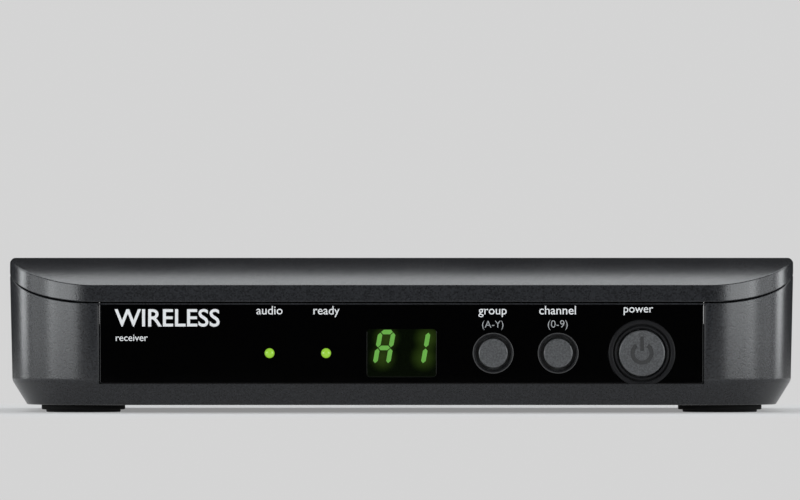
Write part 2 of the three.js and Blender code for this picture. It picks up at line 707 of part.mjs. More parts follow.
function buildFront() {
  addPiece('front_panel', frontPanel(), 'gloss');
  addPiece('display_window', displayWindow(), 'window');
  const small = [SMALL_RADIUS, SMALL_RING_INNER, SMALL_RING_OUTER, SMALL_TRAVEL, SMALL_SWITCH];
  const large = [POWER_RADIUS, POWER_RING_INNER, POWER_RING_OUTER, POWER_TRAVEL, POWER_SWITCH];
  const buttons = [
    ['group', GROUP_X, small],
    ['channel', CHANNEL_X, small],
    ['power', POWER_X, large],
  ];
  for (const [name, x, [radius, inner, outer, travel, size]] of buttons) {
    addPiece(`${name}_ring`, buttonRing(x, inner, outer), 'button');
    addPiece(`${name}_button`, buttonCap(x, radius, inner), 'button');
    addPiece(`${name}_plunger`, plunger(x, travel), 'plastic');
    addPiece(`${name}_switch`, pushSwitch(x, size, travel), 'plastic');
  }
  addPiece('audio_led', indicator(AUDIO_X), 'led');
  addPiece('ready_led', indicator(READY_X), 'led');
  const board = block([FRONT_BOARD_LEFT, FRONT_BOARD_RIGHT],
    [FRONT_BOARD, FRONT_BOARD + BOARD_THICK], [FRONT_BOARD_FOOT, FRONT_BOARD_TOP]);
  addPiece('front_board', board, 'board');
  const module = block(
    [DISPLAY_X - MODULE_WIDTH / 2, DISPLAY_X + MODULE_WIDTH / 2],
    [PANEL_BACK + DISPLAY_GAP, FRONT_BOARD],
    [CONTROL_Z - MODULE_HEIGHT / 2, CONTROL_Z + MODULE_HEIGHT / 2]);
  addPiece('display_module', module, 'chip');
}

// --- main board ---------------------------------------------------------------------------

function mainBoard() {
  let board = solid(block([-MAIN_HALF, MAIN_HALF], [MAIN_FRONT, MAIN_REAR],
    [MAIN_UNDER, MAIN_TOP]));
  for (const x of [-SCREW_X, SCREW_X]) {
    const hole = rodZ(BOSS_RADIUS + 2 * FIT, [0, REACH], x, SCREW_YS[1]);
    board = board.subtract(solid(hole));
  }
  for (const x of [-BOARD_SCREW_X, BOARD_SCREW_X]) {
    for (const y of BOARD_SCREW_YS) {
      const hole = rodZ(BOARD_SCREW_RADIUS + SHAFT_FIT, [0, REACH], x, y);
      board = board.subtract(solid(hole));
    }
  }
  return geometryOf(board);
}

function boardScrew(x, y) {
  const profile = [
    [0, MAIN_TOP - BOARD_SCREW_LENGTH],
    [BOARD_SCREW_RADIUS, MAIN_TOP - BOARD_SCREW_LENGTH],
    [BOARD_SCREW_RADIUS, MAIN_TOP],
    [BOARD_SCREW_HEAD, MAIN_TOP],
    [BOARD_SCREW_HEAD, MAIN_TOP + BOARD_SCREW_HEIGHT],
    [0, MAIN_TOP + BOARD_SCREW_HEIGHT],
  ];
  return turnedZ(profile, x, y);
}

// A block that stands on the main board, placed by its middle.
function onBoard(x, y, [width, length, height]) {
  return block([x - width / 2, x + width / 2], [y - length / 2, y + length / 2],
    [MAIN_TOP, MAIN_TOP + height]);
}

function shieldCan(x, y) {
  const [width, length, height] = CAN_SIZE;
  const hollow = block(
    [x - width / 2 + CAN_WALL, x + width / 2 - CAN_WALL],
    [y - length / 2 + CAN_WALL, y + length / 2 - CAN_WALL],
    [MAIN_TOP - PAST, MAIN_TOP + height - CAN_WALL]);
  return geometryOf(solid(onBoard(x, y, CAN_SIZE)).subtract(solid(hollow)));
}

// An upright metal strip with its foot turned inwards along the board.
function antenna(side) {
  const outer = MAIN_HALF - ANTENNA_INSET;
  const shape = new THREE.Shape();
  shape.moveTo(side * outer, MAIN_TOP);
  shape.lineTo(side * outer, MAIN_TOP + ANTENNA_HEIGHT);
  shape.lineTo(side * (outer - ANTENNA_THICK), MAIN_TOP + ANTENNA_HEIGHT);
  shape.lineTo(side * (outer - ANTENNA_THICK), MAIN_TOP + ANTENNA_THICK);
  shape.lineTo(side * (outer - ANTENNA_FOOT), MAIN_TOP + ANTENNA_THICK);
  shape.lineTo(side * (outer - ANTENNA_FOOT), MAIN_TOP);
  return plateY(shape, [MAIN_FRONT + ANTENNA_FROM_END, MAIN_REAR - ANTENNA_FROM_END]);
}

// The flat ribbon leaves the front board level, bends down and ends on its header.
function ribbon() {
  const start = FRONT_BOARD + BOARD_THICK;
  const end = MAIN_FRONT + HEADER_INSET;
  const low = MAIN_TOP + HEADER_SIZE[2];
  const inner = RIBBON_BEND - RIBBON_THICK;
  const shape = new THREE.Shape();
  shape.moveTo(start, RIBBON_Z);
  shape.lineTo(start, RIBBON_Z - RIBBON_THICK);
  shape.lineTo(end - RIBBON_BEND, RIBBON_Z - RIBBON_THICK);
  shape.absarc(end - RIBBON_BEND, RIBBON_Z - RIBBON_BEND, inner, Math.PI / 2, 0, true);
  shape.lineTo(end - RIBBON_THICK, low);
  shape.lineTo(end, low);
  shape.lineTo(end, RIBBON_Z - RIBBON_BEND);
  shape.absarc(end - RIBBON_BEND, RIBBON_Z - RIBBON_BEND, RIBBON_BEND, 0, Math.PI / 2);
  return plateX(shape, [DISPLAY_X - RIBBON_WIDTH / 2, DISPLAY_X + RIBBON_WIDTH / 2]);
}

function buildBoard() {
  addPiece('main_board', mainBoard(), 'board');
  for (const [sideName, side] of SIDES) {
    addPiece(`antenna_${sideName}`, antenna(side), 'nickel');
    ENDS.forEach((end, i) => {
      const screw = boardScrew(side * BOARD_SCREW_X, BOARD_SCREW_YS[i]);
      addPiece(`board_screw_${end}_${sideName}`, screw, 'steel');
    });
  }
  addPiece('board_ribbon', ribbon(), 'ribbon');
  const headerY = MAIN_FRONT + HEADER_INSET;
  addPiece('ribbon_header', onBoard(DISPLAY_X, headerY, HEADER_SIZE), 'ribbon');
  const [canX, canY] = CAN_PLACE;
  addPiece('rf_shield_can', shieldCan(canX, MAIN_FRONT + canY), 'nickel');
  for (const [name, finish, [x, y], size] of BOARD_PARTS) {
    addPiece(name, onBoard(x, MAIN_FRONT + y, size), finish);
  }
  CAPACITOR_PLACES.forEach(([x, y], i) => {
    const height = [MAIN_TOP, MAIN_TOP + CAPACITOR_HEIGHT];
    const can = rodZ(CAPACITOR_RADIUS, height, x, MAIN_FRONT + y);
    addPiece(`capacitor_${i + 1}`, can, 'steel');
  });
}

// --- rear panel and connectors ------------------------------------------------------------

function rearPanel() {
  const outline = roundedRectangle(0, (REAR_BOTTOM + REAR_TOP) / 2,
    2 * REAR_HALF, REAR_TOP - REAR_BOTTOM, PANEL_CORNER);
  const through = [REAR_INNER - PAST, REAR_FACE + PAST];
  let panel = solid(plateY(outline, [REAR_INNER, REAR_FACE]));
  const holes = [
    [XLR_X, XLR_Z, XLR_RADIUS + FIT],
    [PHONE_X, PHONE_Z, PHONE_THREAD + FIT],
    [DC_X, DC_Z, DC_BORE + DC_MARGIN],
  ];
  for (const [x, z, radius] of holes) {
    panel = panel.subtract(solid(rodY(radius, through, x, z)));
  }
  return geometryOf(panel);
}

// The cup of the balanced output, with a flange on the outside of the panel.
function xlrShell() {
  const flangeBack = REAR_FACE + XLR_FLANGE_THICK;
  const profile = [
    [XLR_BORE, XLR_BACK],
    [XLR_RADIUS, XLR_BACK],
    [XLR_RADIUS, REAR_FACE],
    [XLR_FLANGE, REAR_FACE],
    [XLR_FLANGE, flangeBack],
    [XLR_RADIUS, flangeBack],
    [XLR_RADIUS, XLR_MOUTH],
    [XLR_BORE, XLR_MOUTH],
    [XLR_BORE, XLR_BACK],
  ];
  return turnedY(profile, XLR_X, XLR_Z);
}

const XLR_PIN_ANGLES = [0, Math.PI, Math.PI * 1.5];

function xlrPinPlace(angle) {
  return [XLR_X + XLR_PIN_CIRCLE * Math.cos(angle), XLR_Z + XLR_PIN_CIRCLE * Math.sin(angle)];
}

function xlrInsert() {
  const depth = [XLR_BACK, XLR_BACK + XLR_INSERT];
  let insert = solid(rodY(XLR_BORE - SHAFT_FIT, depth, XLR_X, XLR_Z));
  for (const angle of XLR_PIN_ANGLES) {
    const through = [depth[0] - PAST, depth[1] + PAST];
    const hole = rodY(XLR_PIN_RADIUS + SHAFT_FIT, through, ...xlrPinPlace(angle), SMALL_STEPS);
    insert = insert.subtract(solid(hole));
  }
  return geometryOf(insert);
}

function xlrPin(angle) {
  const tip = XLR_MOUTH - XLR_PIN_SET;
  const profile = [
    [0, XLR_BACK - XLR_PIN_TAIL],
    [XLR_PIN_RADIUS, XLR_BACK - XLR_PIN_TAIL],
    [XLR_PIN_RADIUS, tip - XLR_PIN_ROUND],
    [XLR_PIN_RADIUS - XLR_PIN_ROUND, tip],
    [0, tip],
  ];
  return turnedY(profile, ...xlrPinPlace(angle), SMALL_STEPS);
}

function phoneJackBody() {
  const deep = [REAR_INNER - PHONE_LENGTH, REAR_INNER];
  const up = [MAIN_TOP, MAIN_TOP + PHONE_HEIGHT];
  const across = [PHONE_X - PHONE_WIDTH / 2, PHONE_X + PHONE_WIDTH / 2];
  const body = solid(block(across, deep, up));
  const bore = rodY(PHONE_THREAD, [deep[0] + PHONE_FLOOR, REACH], PHONE_X, PHONE_Z);
  return geometryOf(body.subtract(solid(bore)));
}

// The threaded bush lines the body and stands through the panel to carry the nut.
function phoneJackBush() {
  const outer = PHONE_THREAD - SHAFT_FIT;
  const start = REAR_INNER - PHONE_LENGTH + PHONE_FLOOR + FIT;
  const end = REAR_FACE + PHONE_NUT_THICK + PHONE_BUSH_END;
  const profile = [
    [PHONE_BORE, start],
    [outer, start],
    [outer, end],
    [PHONE_BORE, end],
    [PHONE_BORE, start],
  ];
  return turnedY(profile, PHONE_X, PHONE_Z);
}

function phoneJackNut() {
  const profile = [
    [PHONE_THREAD, REAR_FACE],
    [PHONE_NUT, REAR_FACE],
    [PHONE_NUT, REAR_FACE + PHONE_NUT_THICK],
    [PHONE_THREAD, REAR_FACE + PHONE_NUT_THICK],
    [PHONE_THREAD, REAR_FACE],
  ];
  const blank = solid(turnedY(profile, PHONE_X, PHONE_Z));
  const hexagon = rodY(PHONE_NUT, [REAR_INNER, REACH], PHONE_X, PHONE_Z, 6);
  return geometryOf(blank.intersect(solid(hexagon)));
}

// The power inlet: a round socket with its pin standing from the bottom of the socket.
function dcJack() {
  const deep = [REAR_INNER - DC_LENGTH, REAR_INNER];
  const body = solid(block([DC_X - DC_WIDTH / 2, DC_X + DC_WIDTH / 2], deep,
    [MAIN_TOP, MAIN_TOP + DC_HEIGHT]));
  const bottom = REAR_INNER - DC_BORE_DEPTH;
  const socket = turnedY([
    [DC_PIN, bottom],
    [DC_BORE, bottom],
    [DC_BORE, REAR],
    [DC_PIN, REAR],
    [DC_PIN, bottom],
  ], DC_X, DC_Z, SMALL_STEPS);
  return geometryOf(body.subtract(solid(socket)));
}

function buildRear() {
  addPiece('rear_panel', rearPanel(), 'case');
  addPiece('xlr_shell', xlrShell(), 'plastic');
  addPiece('xlr_insert', xlrInsert(), 'plastic');
  XLR_PIN_ANGLES.forEach((angle, i) => {
    addPiece(`xlr_pin_${i + 1}`, xlrPin(angle), 'nickel');
  });
  addPiece('phone_jack_body', phoneJackBody(), 'plastic');
  addPiece('phone_jack_bush', phoneJackBush(), 'nickel');
  addPiece('phone_jack_nut', phoneJackNut(), 'nickel');
  addPiece('dc_jack', dcJack(), 'plastic');
}

buildCase();
buildFront();
buildBoard();
buildRear();

export default receiver;
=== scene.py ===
"""Looks of a desktop wireless receiver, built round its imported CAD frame.

Every length is in metres in the frame's own axes: +Z is up and the front faces -Y.
"""

import json
import logging
import math
from collections.abc import Callable, Iterable, Sequence
from dataclasses import dataclass, field
from enum import Enum

import bmesh
import bpy
from bmesh.types import BMesh, BMFace, BMVert
from mathutils import Matrix, Vector


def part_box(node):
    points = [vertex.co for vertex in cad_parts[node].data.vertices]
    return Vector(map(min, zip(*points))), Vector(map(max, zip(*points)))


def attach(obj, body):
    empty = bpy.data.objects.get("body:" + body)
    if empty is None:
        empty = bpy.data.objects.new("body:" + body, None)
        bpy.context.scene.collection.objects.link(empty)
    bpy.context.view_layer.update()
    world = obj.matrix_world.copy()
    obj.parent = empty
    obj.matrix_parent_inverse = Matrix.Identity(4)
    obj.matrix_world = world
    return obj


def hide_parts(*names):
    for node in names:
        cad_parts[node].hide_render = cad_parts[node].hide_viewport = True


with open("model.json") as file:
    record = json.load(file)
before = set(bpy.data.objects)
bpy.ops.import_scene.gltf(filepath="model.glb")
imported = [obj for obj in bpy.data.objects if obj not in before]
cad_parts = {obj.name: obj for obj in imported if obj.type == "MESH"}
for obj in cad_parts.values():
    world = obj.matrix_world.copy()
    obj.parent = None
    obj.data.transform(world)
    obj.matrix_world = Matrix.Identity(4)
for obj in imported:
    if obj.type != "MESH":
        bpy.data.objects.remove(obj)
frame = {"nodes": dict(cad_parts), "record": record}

log = logging.getLogger("receiver")

MM = 0.001
MERGE = 1e-7  # vertices closer than this are one
ROUND_STEPS = 72
SMALL_STEPS = 36
FILLET_STEPS = 4
SEAM_STEPS = 3
SMOOTH_ANGLE = math.radians(38)
NORMAL_WEIGHT = 90  # how much large faces lead the shading

Pair = tuple[float, float]
Corner = tuple[float, ...]  # a point, and the radius of its corner where it is rounded
Place = tuple[float, float, float]
RGB = tuple[float, float, float]


class Axis(Enum):
    """The direction that a turned shape's axis runs in."""

    Y = "y"
    Z = "z"


class Join(Enum):
    """How one solid acts on another."""

    CUT = "DIFFERENCE"
    ADD = "UNION"
    KEEP = "INTERSECT"


# --- materials ------------------------------------------------------------------------


class Graph:
    """A material's node tree, built one node at a time."""

    def __init__(self, name: str) -> None:
        """Starts an empty tree.

        Args:
            name: The material's name.
        """
        self.material = bpy.data.materials.new(name)
        self.material.use_nodes = True
        self.tree = self.material.node_tree
        self.tree.nodes.clear()
        self.output = self.tree.nodes.new("ShaderNodeOutputMaterial")
        self.place = self.node("ShaderNodeTexCoord").outputs["Object"]

    def node(self, kind: str, inputs: dict | None = None, **settings: object) -> bpy.types.Node:
        """Adds a node.

        Args:
            kind: The node's type name.
            inputs: Values or output sockets for its inputs, by name or number.
            **settings: Properties of the node itself.

        Returns:
            The new node.
        """
        made = self.tree.nodes.new(kind)
        for key, value in settings.items():
            setattr(made, key, value)
        for key, value in (inputs or {}).items():
            if isinstance(value, bpy.types.NodeSocket):
                self.tree.links.new(value, made.inputs[key])
            elif isinstance(value, tuple) and len(value) == 3 and made.inputs[key].type == "RGBA":
                made.inputs[key].default_value = (*value, 1.0)
            else:
                made.inputs[key].default_value = value
        return made

    def noise(
        self, scale: float, detail: float = 2.0, stretch: Place = (1, 1, 1)
    ) -> bpy.types.NodeSocket:
        """Smooth random values from 0 to 1 over the piece.

        Args:
            scale: Lumps per metre.
            detail: Octaves of finer lumps.
            stretch: Scale of the pattern along each axis.

        Returns:
            The socket of the value.
        """
        place = self.node("ShaderNodeMapping", {"Vector": self.place, "Scale": stretch})
        settings = {"Vector": place.outputs["Vector"], "Scale": scale, "Detail": detail}
        return self.node("ShaderNodeTexNoise", settings).outputs["Fac"]

    def spread(
        self, value: bpy.types.NodeSocket, low: float, high: float, start: float = 0.0,
        end: float = 1.0, curve: str = "LINEAR",
    ) -> bpy.types.NodeSocket:
        """Maps a value from one range to another.

        Args:
            value: The socket of the value.
            low: What the start becomes.
            high: What the end becomes.
            start: The first value of the range that it comes from.
            end: The last one.
            curve: How it goes from low to high.

        Returns:
            The socket of the result.
        """
        inputs = {"Value": value, "From Min": start, "From Max": end, "To Min": low, "To Max": high}
        return self.node("ShaderNodeMapRange", inputs, interpolation_type=curve).outputs["Result"]

    def maths(self, operation: str, *values: object, kind: str = "Math") -> bpy.types.Node:
        """Adds a node that works out something from values or sockets."""
        return self.node(f"ShaderNode{kind}", dict(enumerate(values)), operation=operation)

    def tint(
        self, value: bpy.types.NodeSocket | float, low: bpy.types.NodeSocket | RGB,
        high: bpy.types.NodeSocket | RGB,
    ) -> bpy.types.NodeSocket:
        """Mixes two colours by a value."""
        made = self.node("ShaderNodeMix", {0: value, 6: low, 7: high}, data_type="RGBA")
        return made.outputs[2]

    def shades(
        self, value: bpy.types.NodeSocket, colour: RGB, low: float, high: float
    ) -> bpy.types.NodeSocket:
        """The colour, from darker to lighter by a value."""
        return self.tint(value, scaled(colour, low), scaled(colour, high))

    def relief(
        self, height: bpy.types.NodeSocket, depth: float, strength: float = 1.0
    ) -> bpy.types.NodeSocket:
        """Bumps the surface by a height value."""
        inputs = {"Height": height, "Distance": depth, "Strength": strength}
        return self.node("ShaderNodeBump", inputs).outputs["Normal"]

    def close(self, surface: dict) -> bpy.types.Material:
        """Ends the tree in a principled surface.

        Args:
            surface: Inputs of the principled node.

        Returns:
            The finished material.
        """
        made = self.node("ShaderNodeBsdfPrincipled", surface)
        self.tree.links.new(made.outputs["BSDF"], self.output.inputs["Surface"])
        return self.material


def scaled(colour: RGB, factor: float) -> RGB:
    """The colour made lighter or darker."""
    return tuple(min(1.0, part * factor) for part in colour)


@dataclass(frozen=True)
class Finish:
    """What a surface is made of, and the record's slot that it stands for."""

    name: str
    slot: str
    colour: RGB

    def build(self) -> bpy.types.Material:
        """Makes the material, or finds it if it is already made."""
        name = f"{self.name}_look"
        return bpy.data.materials.get(name) or self.draw(Graph(name))

    def draw(self, graph: Graph) -> bpy.types.Material:
        """Fills the node tree of the material.

        Args:
            graph: The empty tree.

        Returns:
            The finished material.
        """
        raise NotImplementedError


@dataclass(frozen=True)
class Moulded(Finish):
    """Moulded plastic or rubber with a fine spark-eroded grain."""

    roughness: float = 0.5
    grain_scale: float = 2400.0
    grain_depth: float = 0.00002
    variation: float = 0.05
    coat: float = 0.0
    fleck: float = 0.35
    shine: float = 0.5
    fleck_range: Pair = (0.36, 0.64)  # of the grain, from its darkest to its lightest
    grain_detail: float = 3.0
    grain_strength: float = 0.55
    cloud_scale: float = 46.0
    cloud_detail: float = 4.0
    unevenness: float = 0.04
    coat_roughness: float = 0.3

    def draw(self, graph: Graph) -> bpy.types.Material:
        """Fills the node tree of the material.

        Args:
            graph: The empty tree.

        Returns:
            The finished material.
        """
        grain = graph.noise(self.grain_scale, self.grain_detail)
        cloud = graph.noise(self.cloud_scale, self.cloud_detail)
        sharp = graph.spread(grain, 0.0, 1.0, *self.fleck_range)
        fleck, shade = (
            graph.shades(value, self.colour, 1 - reach, 1 + reach)
            for value, reach in ((sharp, self.fleck), (cloud, self.variation)))
        return graph.close({
            "Base Color": graph.tint(0.5, fleck, shade),
            "Roughness": graph.spread(
                cloud, self.roughness - self.unevenness, self.roughness + self.unevenness),
            "Normal": graph.relief(grain, self.grain_depth, self.grain_strength),
            "Coat Weight": self.coat,
            "Coat Roughness": self.coat_roughness,
            "Specular IOR Level": self.shine,
        })


@dataclass(frozen=True)
class Gloss(Finish):
    """Polished plastic with the faint waviness and wiping marks that it always has."""

    roughness: float = 0.035
    wave_scale: float = 90.0
    wave_depth: float = 0.00001
    wipe_scale: float = 500.0
    wipe_stretch: Place = (0.12, 1.0, 1.0)
    wipe_detail: float = 5.0
    wiped: Pair = (0.6, 1.6)  # lowest and highest roughness, as shares of the usual one
    contrast: Pair = (0.8, 1.2)
    wave_strength: float = 0.4

    def draw(self, graph: Graph) -> bpy.types.Material:
        """Fills the node tree of the material.

        Args:
            graph: The empty tree.

        Returns:
            The finished material.
        """
        wave = graph.noise(self.wave_scale)
        wipe = graph.noise(self.wipe_scale, self.wipe_detail, self.wipe_stretch)
        return graph.close({
            "Base Color": graph.shades(wave, self.colour, *self.contrast),
            "Roughness": graph.spread(wipe, *(self.roughness * share for share in self.wiped)),
            "Normal": graph.relief(wave, self.wave_depth, self.wave_strength),
        })


@dataclass(frozen=True)
class Window(Finish):
    """Dark tinted display window with a painted glow round what is lit behind it."""

    glow: RGB = (0.12, 0.24, 0.03)
    lit: tuple[Pair, ...] = ()
    reach: float = 3.9 * MM
    strength: Pair = (0.004, 0.17)  # of the glow, far from what is lit and right at it
    unevenness: Pair = (0.75, 1.2)
    cloud_scale: float = 700.0
    cloud_detail: float = 3.0
    contrast: Pair = (0.8, 1.2)
    roughness: Pair = (0.03, 0.06)

    def draw(self, graph: Graph) -> bpy.types.Material:
        """Fills the node tree of the material.

        Args:
            graph: The empty tree.

        Returns:
            The finished material.
        """
        flat = graph.maths("MULTIPLY", graph.place, (1, 0, 1), kind="VectorMath").outputs[0]
        total: bpy.types.NodeSocket | float = 0.0
        for x, z in self.lit:
            far = graph.maths("DISTANCE", flat, (x, 0, z), kind="VectorMath").outputs["Value"]
            near = graph.spread(far, 1.0, 0.0, 0.0, self.reach, "SMOOTHSTEP")
            total = graph.maths("ADD", total, near).outputs[0]
        cloud = graph.noise(self.cloud_scale, self.cloud_detail)
        uneven = graph.maths("MULTIPLY", total, graph.spread(cloud, *self.unevenness)).outputs[0]
        return graph.close({
            "Base Color": graph.shades(cloud, self.colour, *self.contrast),
            "Roughness": graph.spread(cloud, *self.roughness),
            "Emission Color": self.glow,
            "Emission Strength": graph.spread(uneven, *self.strength),
        })


@dataclass(frozen=True)
class Lit(Finish):
    """A lit lens or segment, a little uneven over its face."""

    strength: float = 1.0
    grain_scale: float = 900.0
    unlit: float = 0.3  # brightness of the lens itself, as a share of its lit colour
    contrast: Pair = (0.88, 1.12)
    roughness: Pair = (0.18, 0.3)

    def draw(self, graph: Graph) -> bpy.types.Material:
        """Fills the node tree of the material.

        Args:
            graph: The empty tree.

        Returns:
            The finished material.
        """
        cloud = graph.noise(self.grain_scale)
        return graph.close({
            "Base Color": scaled(self.colour, self.unlit),
            "Roughness": graph.spread(cloud, *self.roughness),
            "Emission Color": graph.shades(cloud, self.colour, *self.contrast),
            "Emission Strength": self.strength,
        })


@dataclass(frozen=True)
class Plated(Finish):
    """Plated or bare metal with fine drawing lines."""

    roughness: float = 0.25
    stretch: Place = (1.0, 1.0, 1.0)
    line_scale: float = 3000.0
    line_depth: float = 0.000006
    cloud_scale: float = 160.0
    contrast: Pair = (0.9, 1.06)
    roughness_reach: Pair = (-0.07, 0.1)

    def draw(self, graph: Graph) -> bpy.types.Material:
        """Fills the node tree of the material.

        Args:
            graph: The empty tree.

        Returns:
            The finished material.
        """
        line = graph.noise(self.line_scale, stretch=self.stretch)
        cloud = graph.noise(self.cloud_scale, 3.0)
        return graph.close({
            "Base Color": graph.shades(cloud, self.colour, *self.contrast),
            "Metallic": 1.0,
            "Roughness": graph.spread(
                line, *(self.roughness + reach for reach in self.roughness_reach)),
            "Normal": graph.relief(line, self.line_depth, 0.5),
        })


@dataclass(frozen=True)
class Laminate(Finish):
    """Solder mask over copper tracks."""

    track: RGB = (0.02, 0.16, 0.06)
    track_scale: float = 420.0
    track_edge: Pair = (0.42, 0.46)  # distance from a cell's middle where the track begins
    track_depth: float = 0.00003
    cloud_scale: float = 300.0
    roughness: Pair = (0.3, 0.42)

    def draw(self, graph: Graph) -> bpy.types.Material:
        """Fills the node tree of the material.

        Args:
            graph: The empty tree.

        Returns:
            The finished material.
        """
        cells = graph.node(
            "ShaderNodeTexVoronoi", {"Vector": graph.place, "Scale": self.track_scale},
            distance="CHEBYCHEV", feature="F1",
        ).outputs["Distance"]
        edge = graph.spread(cells, 0.0, 1.0, *self.track_edge)
        return graph.close({
            "Base Color": graph.tint(edge, self.colour, self.track),
            "Roughness": graph.spread(graph.noise(self.cloud_scale), *self.roughness),
            "Normal": graph.relief(edge, self.track_depth, 0.5),
        })


@dataclass(frozen=True)
class Striped(Finish):
    """Flat cable: pale film with a conductor under each ridge."""

    pitch: float = 1.0 * MM
    waves: float = 0.314  # scale of the wave node that gives one band in a metre
    contrast: Pair = (0.6, 1.0)
    roughness: Pair = (0.35, 0.5)
    ridge: float = 0.0001

    def draw(self, graph: Graph) -> bpy.types.Material:
        """Fills the node tree of the material.

        Args:
            graph: The empty tree.

        Returns:
            The finished material.
        """
        wave = graph.node(
            "ShaderNodeTexWave", {"Vector": graph.place, "Scale": self.waves / self.pitch},
            bands_direction="X",
        ).outputs["Fac"]
        return graph.close({
            "Base Color": graph.shades(wave, self.colour, *self.contrast),
            "Roughness": graph.spread(wave, *self.roughness),
            "Normal": graph.relief(wave, self.ridge, 0.5),
        })


@dataclass(frozen=True)
class Ink(Finish):
    """Screen-printed ink, which can glow a little: painted light, as the print is no lamp."""

    glow: float = 0.0
    speck_scale: float = 2600.0
    speck_detail: float = 3.0
    speck_depth: float = 0.00001
    contrast: Pair = (0.86, 1.0)
    roughness: Pair = (0.45, 0.6)

    def draw(self, graph: Graph) -> bpy.types.Material:
        """Fills the node tree of the material.

        Args:
            graph: The empty tree.

        Returns:
            The finished material.
        """
        speck = graph.noise(self.speck_scale, self.speck_detail)
        shade = graph.shades(speck, self.colour, *self.contrast)
        return graph.close({
            "Base Color": shade,
            "Roughness": graph.spread(speck, *self.roughness),
            "Normal": graph.relief(speck, self.speck_depth, 0.3),
            "Emission Color": shade,
            "Emission Strength": self.glow,
        })


CASE_PLASTIC = Moulded(
    "case_plastic", "case_plastic", (0.017, 0.0178, 0.02), roughness=0.23, grain_depth=0.00004,
    fleck=0.8)
REAR_PLASTIC = Moulded("rear_plastic", "case_plastic", (0.03, 0.03, 0.032), roughness=0.4)
BUTTON_PLASTIC = Moulded(
    "button_plastic", "button_plastic", (0.069, 0.071, 0.074), roughness=0.36, grain_scale=2600.0,
    grain_depth=0.00003, variation=0.03, coat=0.15, fleck=0.7)
# Painted shade: the rings are a much darker copy of the button plastic, for the shade on their
# recessed faces.
RING_PAINTED_SHADE = Moulded(
    "ring_painted_shade", "button_plastic", (0.007, 0.007, 0.008), roughness=0.4, grain_scale=2600.0,
    grain_depth=0.00001, variation=0.03, shine=0.2)
# Painted highlight: a paler copy of the button plastic for the lit line round the small rings' edges.
RIM_PAINTED_HIGHLIGHT = Moulded(
    "rim_painted_highlight", "button_plastic", (0.045, 0.045, 0.046), roughness=0.4, grain_scale=2600.0,
    grain_depth=0.00001, variation=0.03)
# Painted shade: a darker copy of the button plastic for the floor of the engraved power sign.
MARK_PAINTED_SHADE = Moulded(
    "mark_painted_shade", "button_plastic", (0.03, 0.03, 0.031), roughness=0.5, grain_scale=2600.0,
    grain_depth=0.00001, variation=0.03)
BLACK_PLASTIC = Moulded("black_plastic", "black_plastic", (0.012, 0.012, 0.013), roughness=0.45)
# Black rubber, made darker still for the shade on the feet under the case: its own colour and painted
# shade.
FOOT_RUBBER = Moulded(
    "foot_rubber", "foot_rubber", (0.004, 0.004, 0.004), roughness=0.75, grain_scale=3000.0,
    grain_depth=0.00005, variation=0.12, shine=0.1)
PANEL_GLOSS = Gloss("panel_gloss", "panel_gloss", (0.0003, 0.0003, 0.0004))
SEGMENT_LIT = Lit("segment_lit", "window_tint", (0.13, 0.39, 0.06), strength=0.72)
LAMP_LIT = Lit("lamp_lit", "led_lens", (0.29, 0.58, 0.04), strength=0.78)
NICKEL = Plated("nickel_plate", "nickel_plate", (0.66, 0.64, 0.6), roughness=0.22)
STEEL = Plated(
    "screw_steel", "screw_steel", (0.5, 0.51, 0.52), roughness=0.3, stretch=(1.0, 1.0, 0.15))
LAMINATE = Laminate("board_laminate", "board_laminate", (0.01, 0.09, 0.03))
RIBBON = Striped("ribbon_film", "ribbon_film", (0.68, 0.66, 0.6))
# Both inks glow a little: painted light that brightens the print.
PRINT = Ink("label_ink", "panel_gloss", (0.74, 0.75, 0.76), glow=0.08)
PALE_PRINT = Ink("pale_ink", "panel_gloss", (0.36, 0.37, 0.38), glow=0.03)


# --- mesh tools -----------------------------------------------------------------------


@dataclass(frozen=True)
class Role:
    """What a piece is: its name, finish and body, and the CAD nodes it stands for."""

    name: str
    finish: Finish
    nodes: tuple[str, ...] = ()
    body: str = "case"


def bare_object(bm: BMesh, name: str) -> bpy.types.Object:
    """Puts a mesh in the scene as an object at the origin, and frees the bmesh.

    Args:
        bm: The mesh.
        name: The object's name.

    Returns:
        The object.
    """
    mesh = bpy.data.meshes.new(name)
    bm.to_mesh(mesh)
    bm.free()
    made = bpy.data.objects.new(name, mesh)
    bpy.context.scene.collection.objects.link(made)
    return made


def evaluated(thing: bpy.types.Object) -> None:
    """Replaces an object's mesh with what its modifiers make of it.

    Args:
        thing: The object.
    """
    graph = bpy.context.evaluated_depsgraph_get()
    mesh = bpy.data.meshes.new_from_object(thing.evaluated_get(graph))
    thing.modifiers.clear()
    old, thing.data = thing.data, mesh
    bpy.data.meshes.remove(old)


def combine(thing: bpy.types.Object, tool: BMesh, how: Join) -> None:
    """Cuts or joins one solid with another.

    Args:
        thing: The object that is changed.
        tool: The other solid, which is used up.
        how: What the tool does.
    """
    other = bare_object(tool, "tool")
    change = thing.modifiers.new("combine", "BOOLEAN")
    change.operation = how.value
    change.solver = "EXACT"
    change.object = other
    evaluated(thing)
    bpy.data.meshes.remove(other.data)


def settle(thing: bpy.types.Object, role: Role) -> bpy.types.Object:
    """Gives an object its shading, finish and place in the frame.

    Args:
        thing: The object, at the origin.
        role: What it is.

    Returns:
        The same object.
    """
    mesh = thing.data
    mesh.shade_smooth()
    mesh.set_sharp_from_angle(angle=SMOOTH_ANGLE)
    even = thing.modifiers.new("even", "WEIGHTED_NORMAL")
    even.keep_sharp = True
    even.weight = NORMAL_WEIGHT
    mesh.materials.clear()
    mesh.materials.append(role.finish.build())
    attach(thing, role.body)
    if role.nodes:
        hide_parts(*role.nodes)
    log.info("%s: %d faces", thing.name, len(mesh.polygons))
    return thing


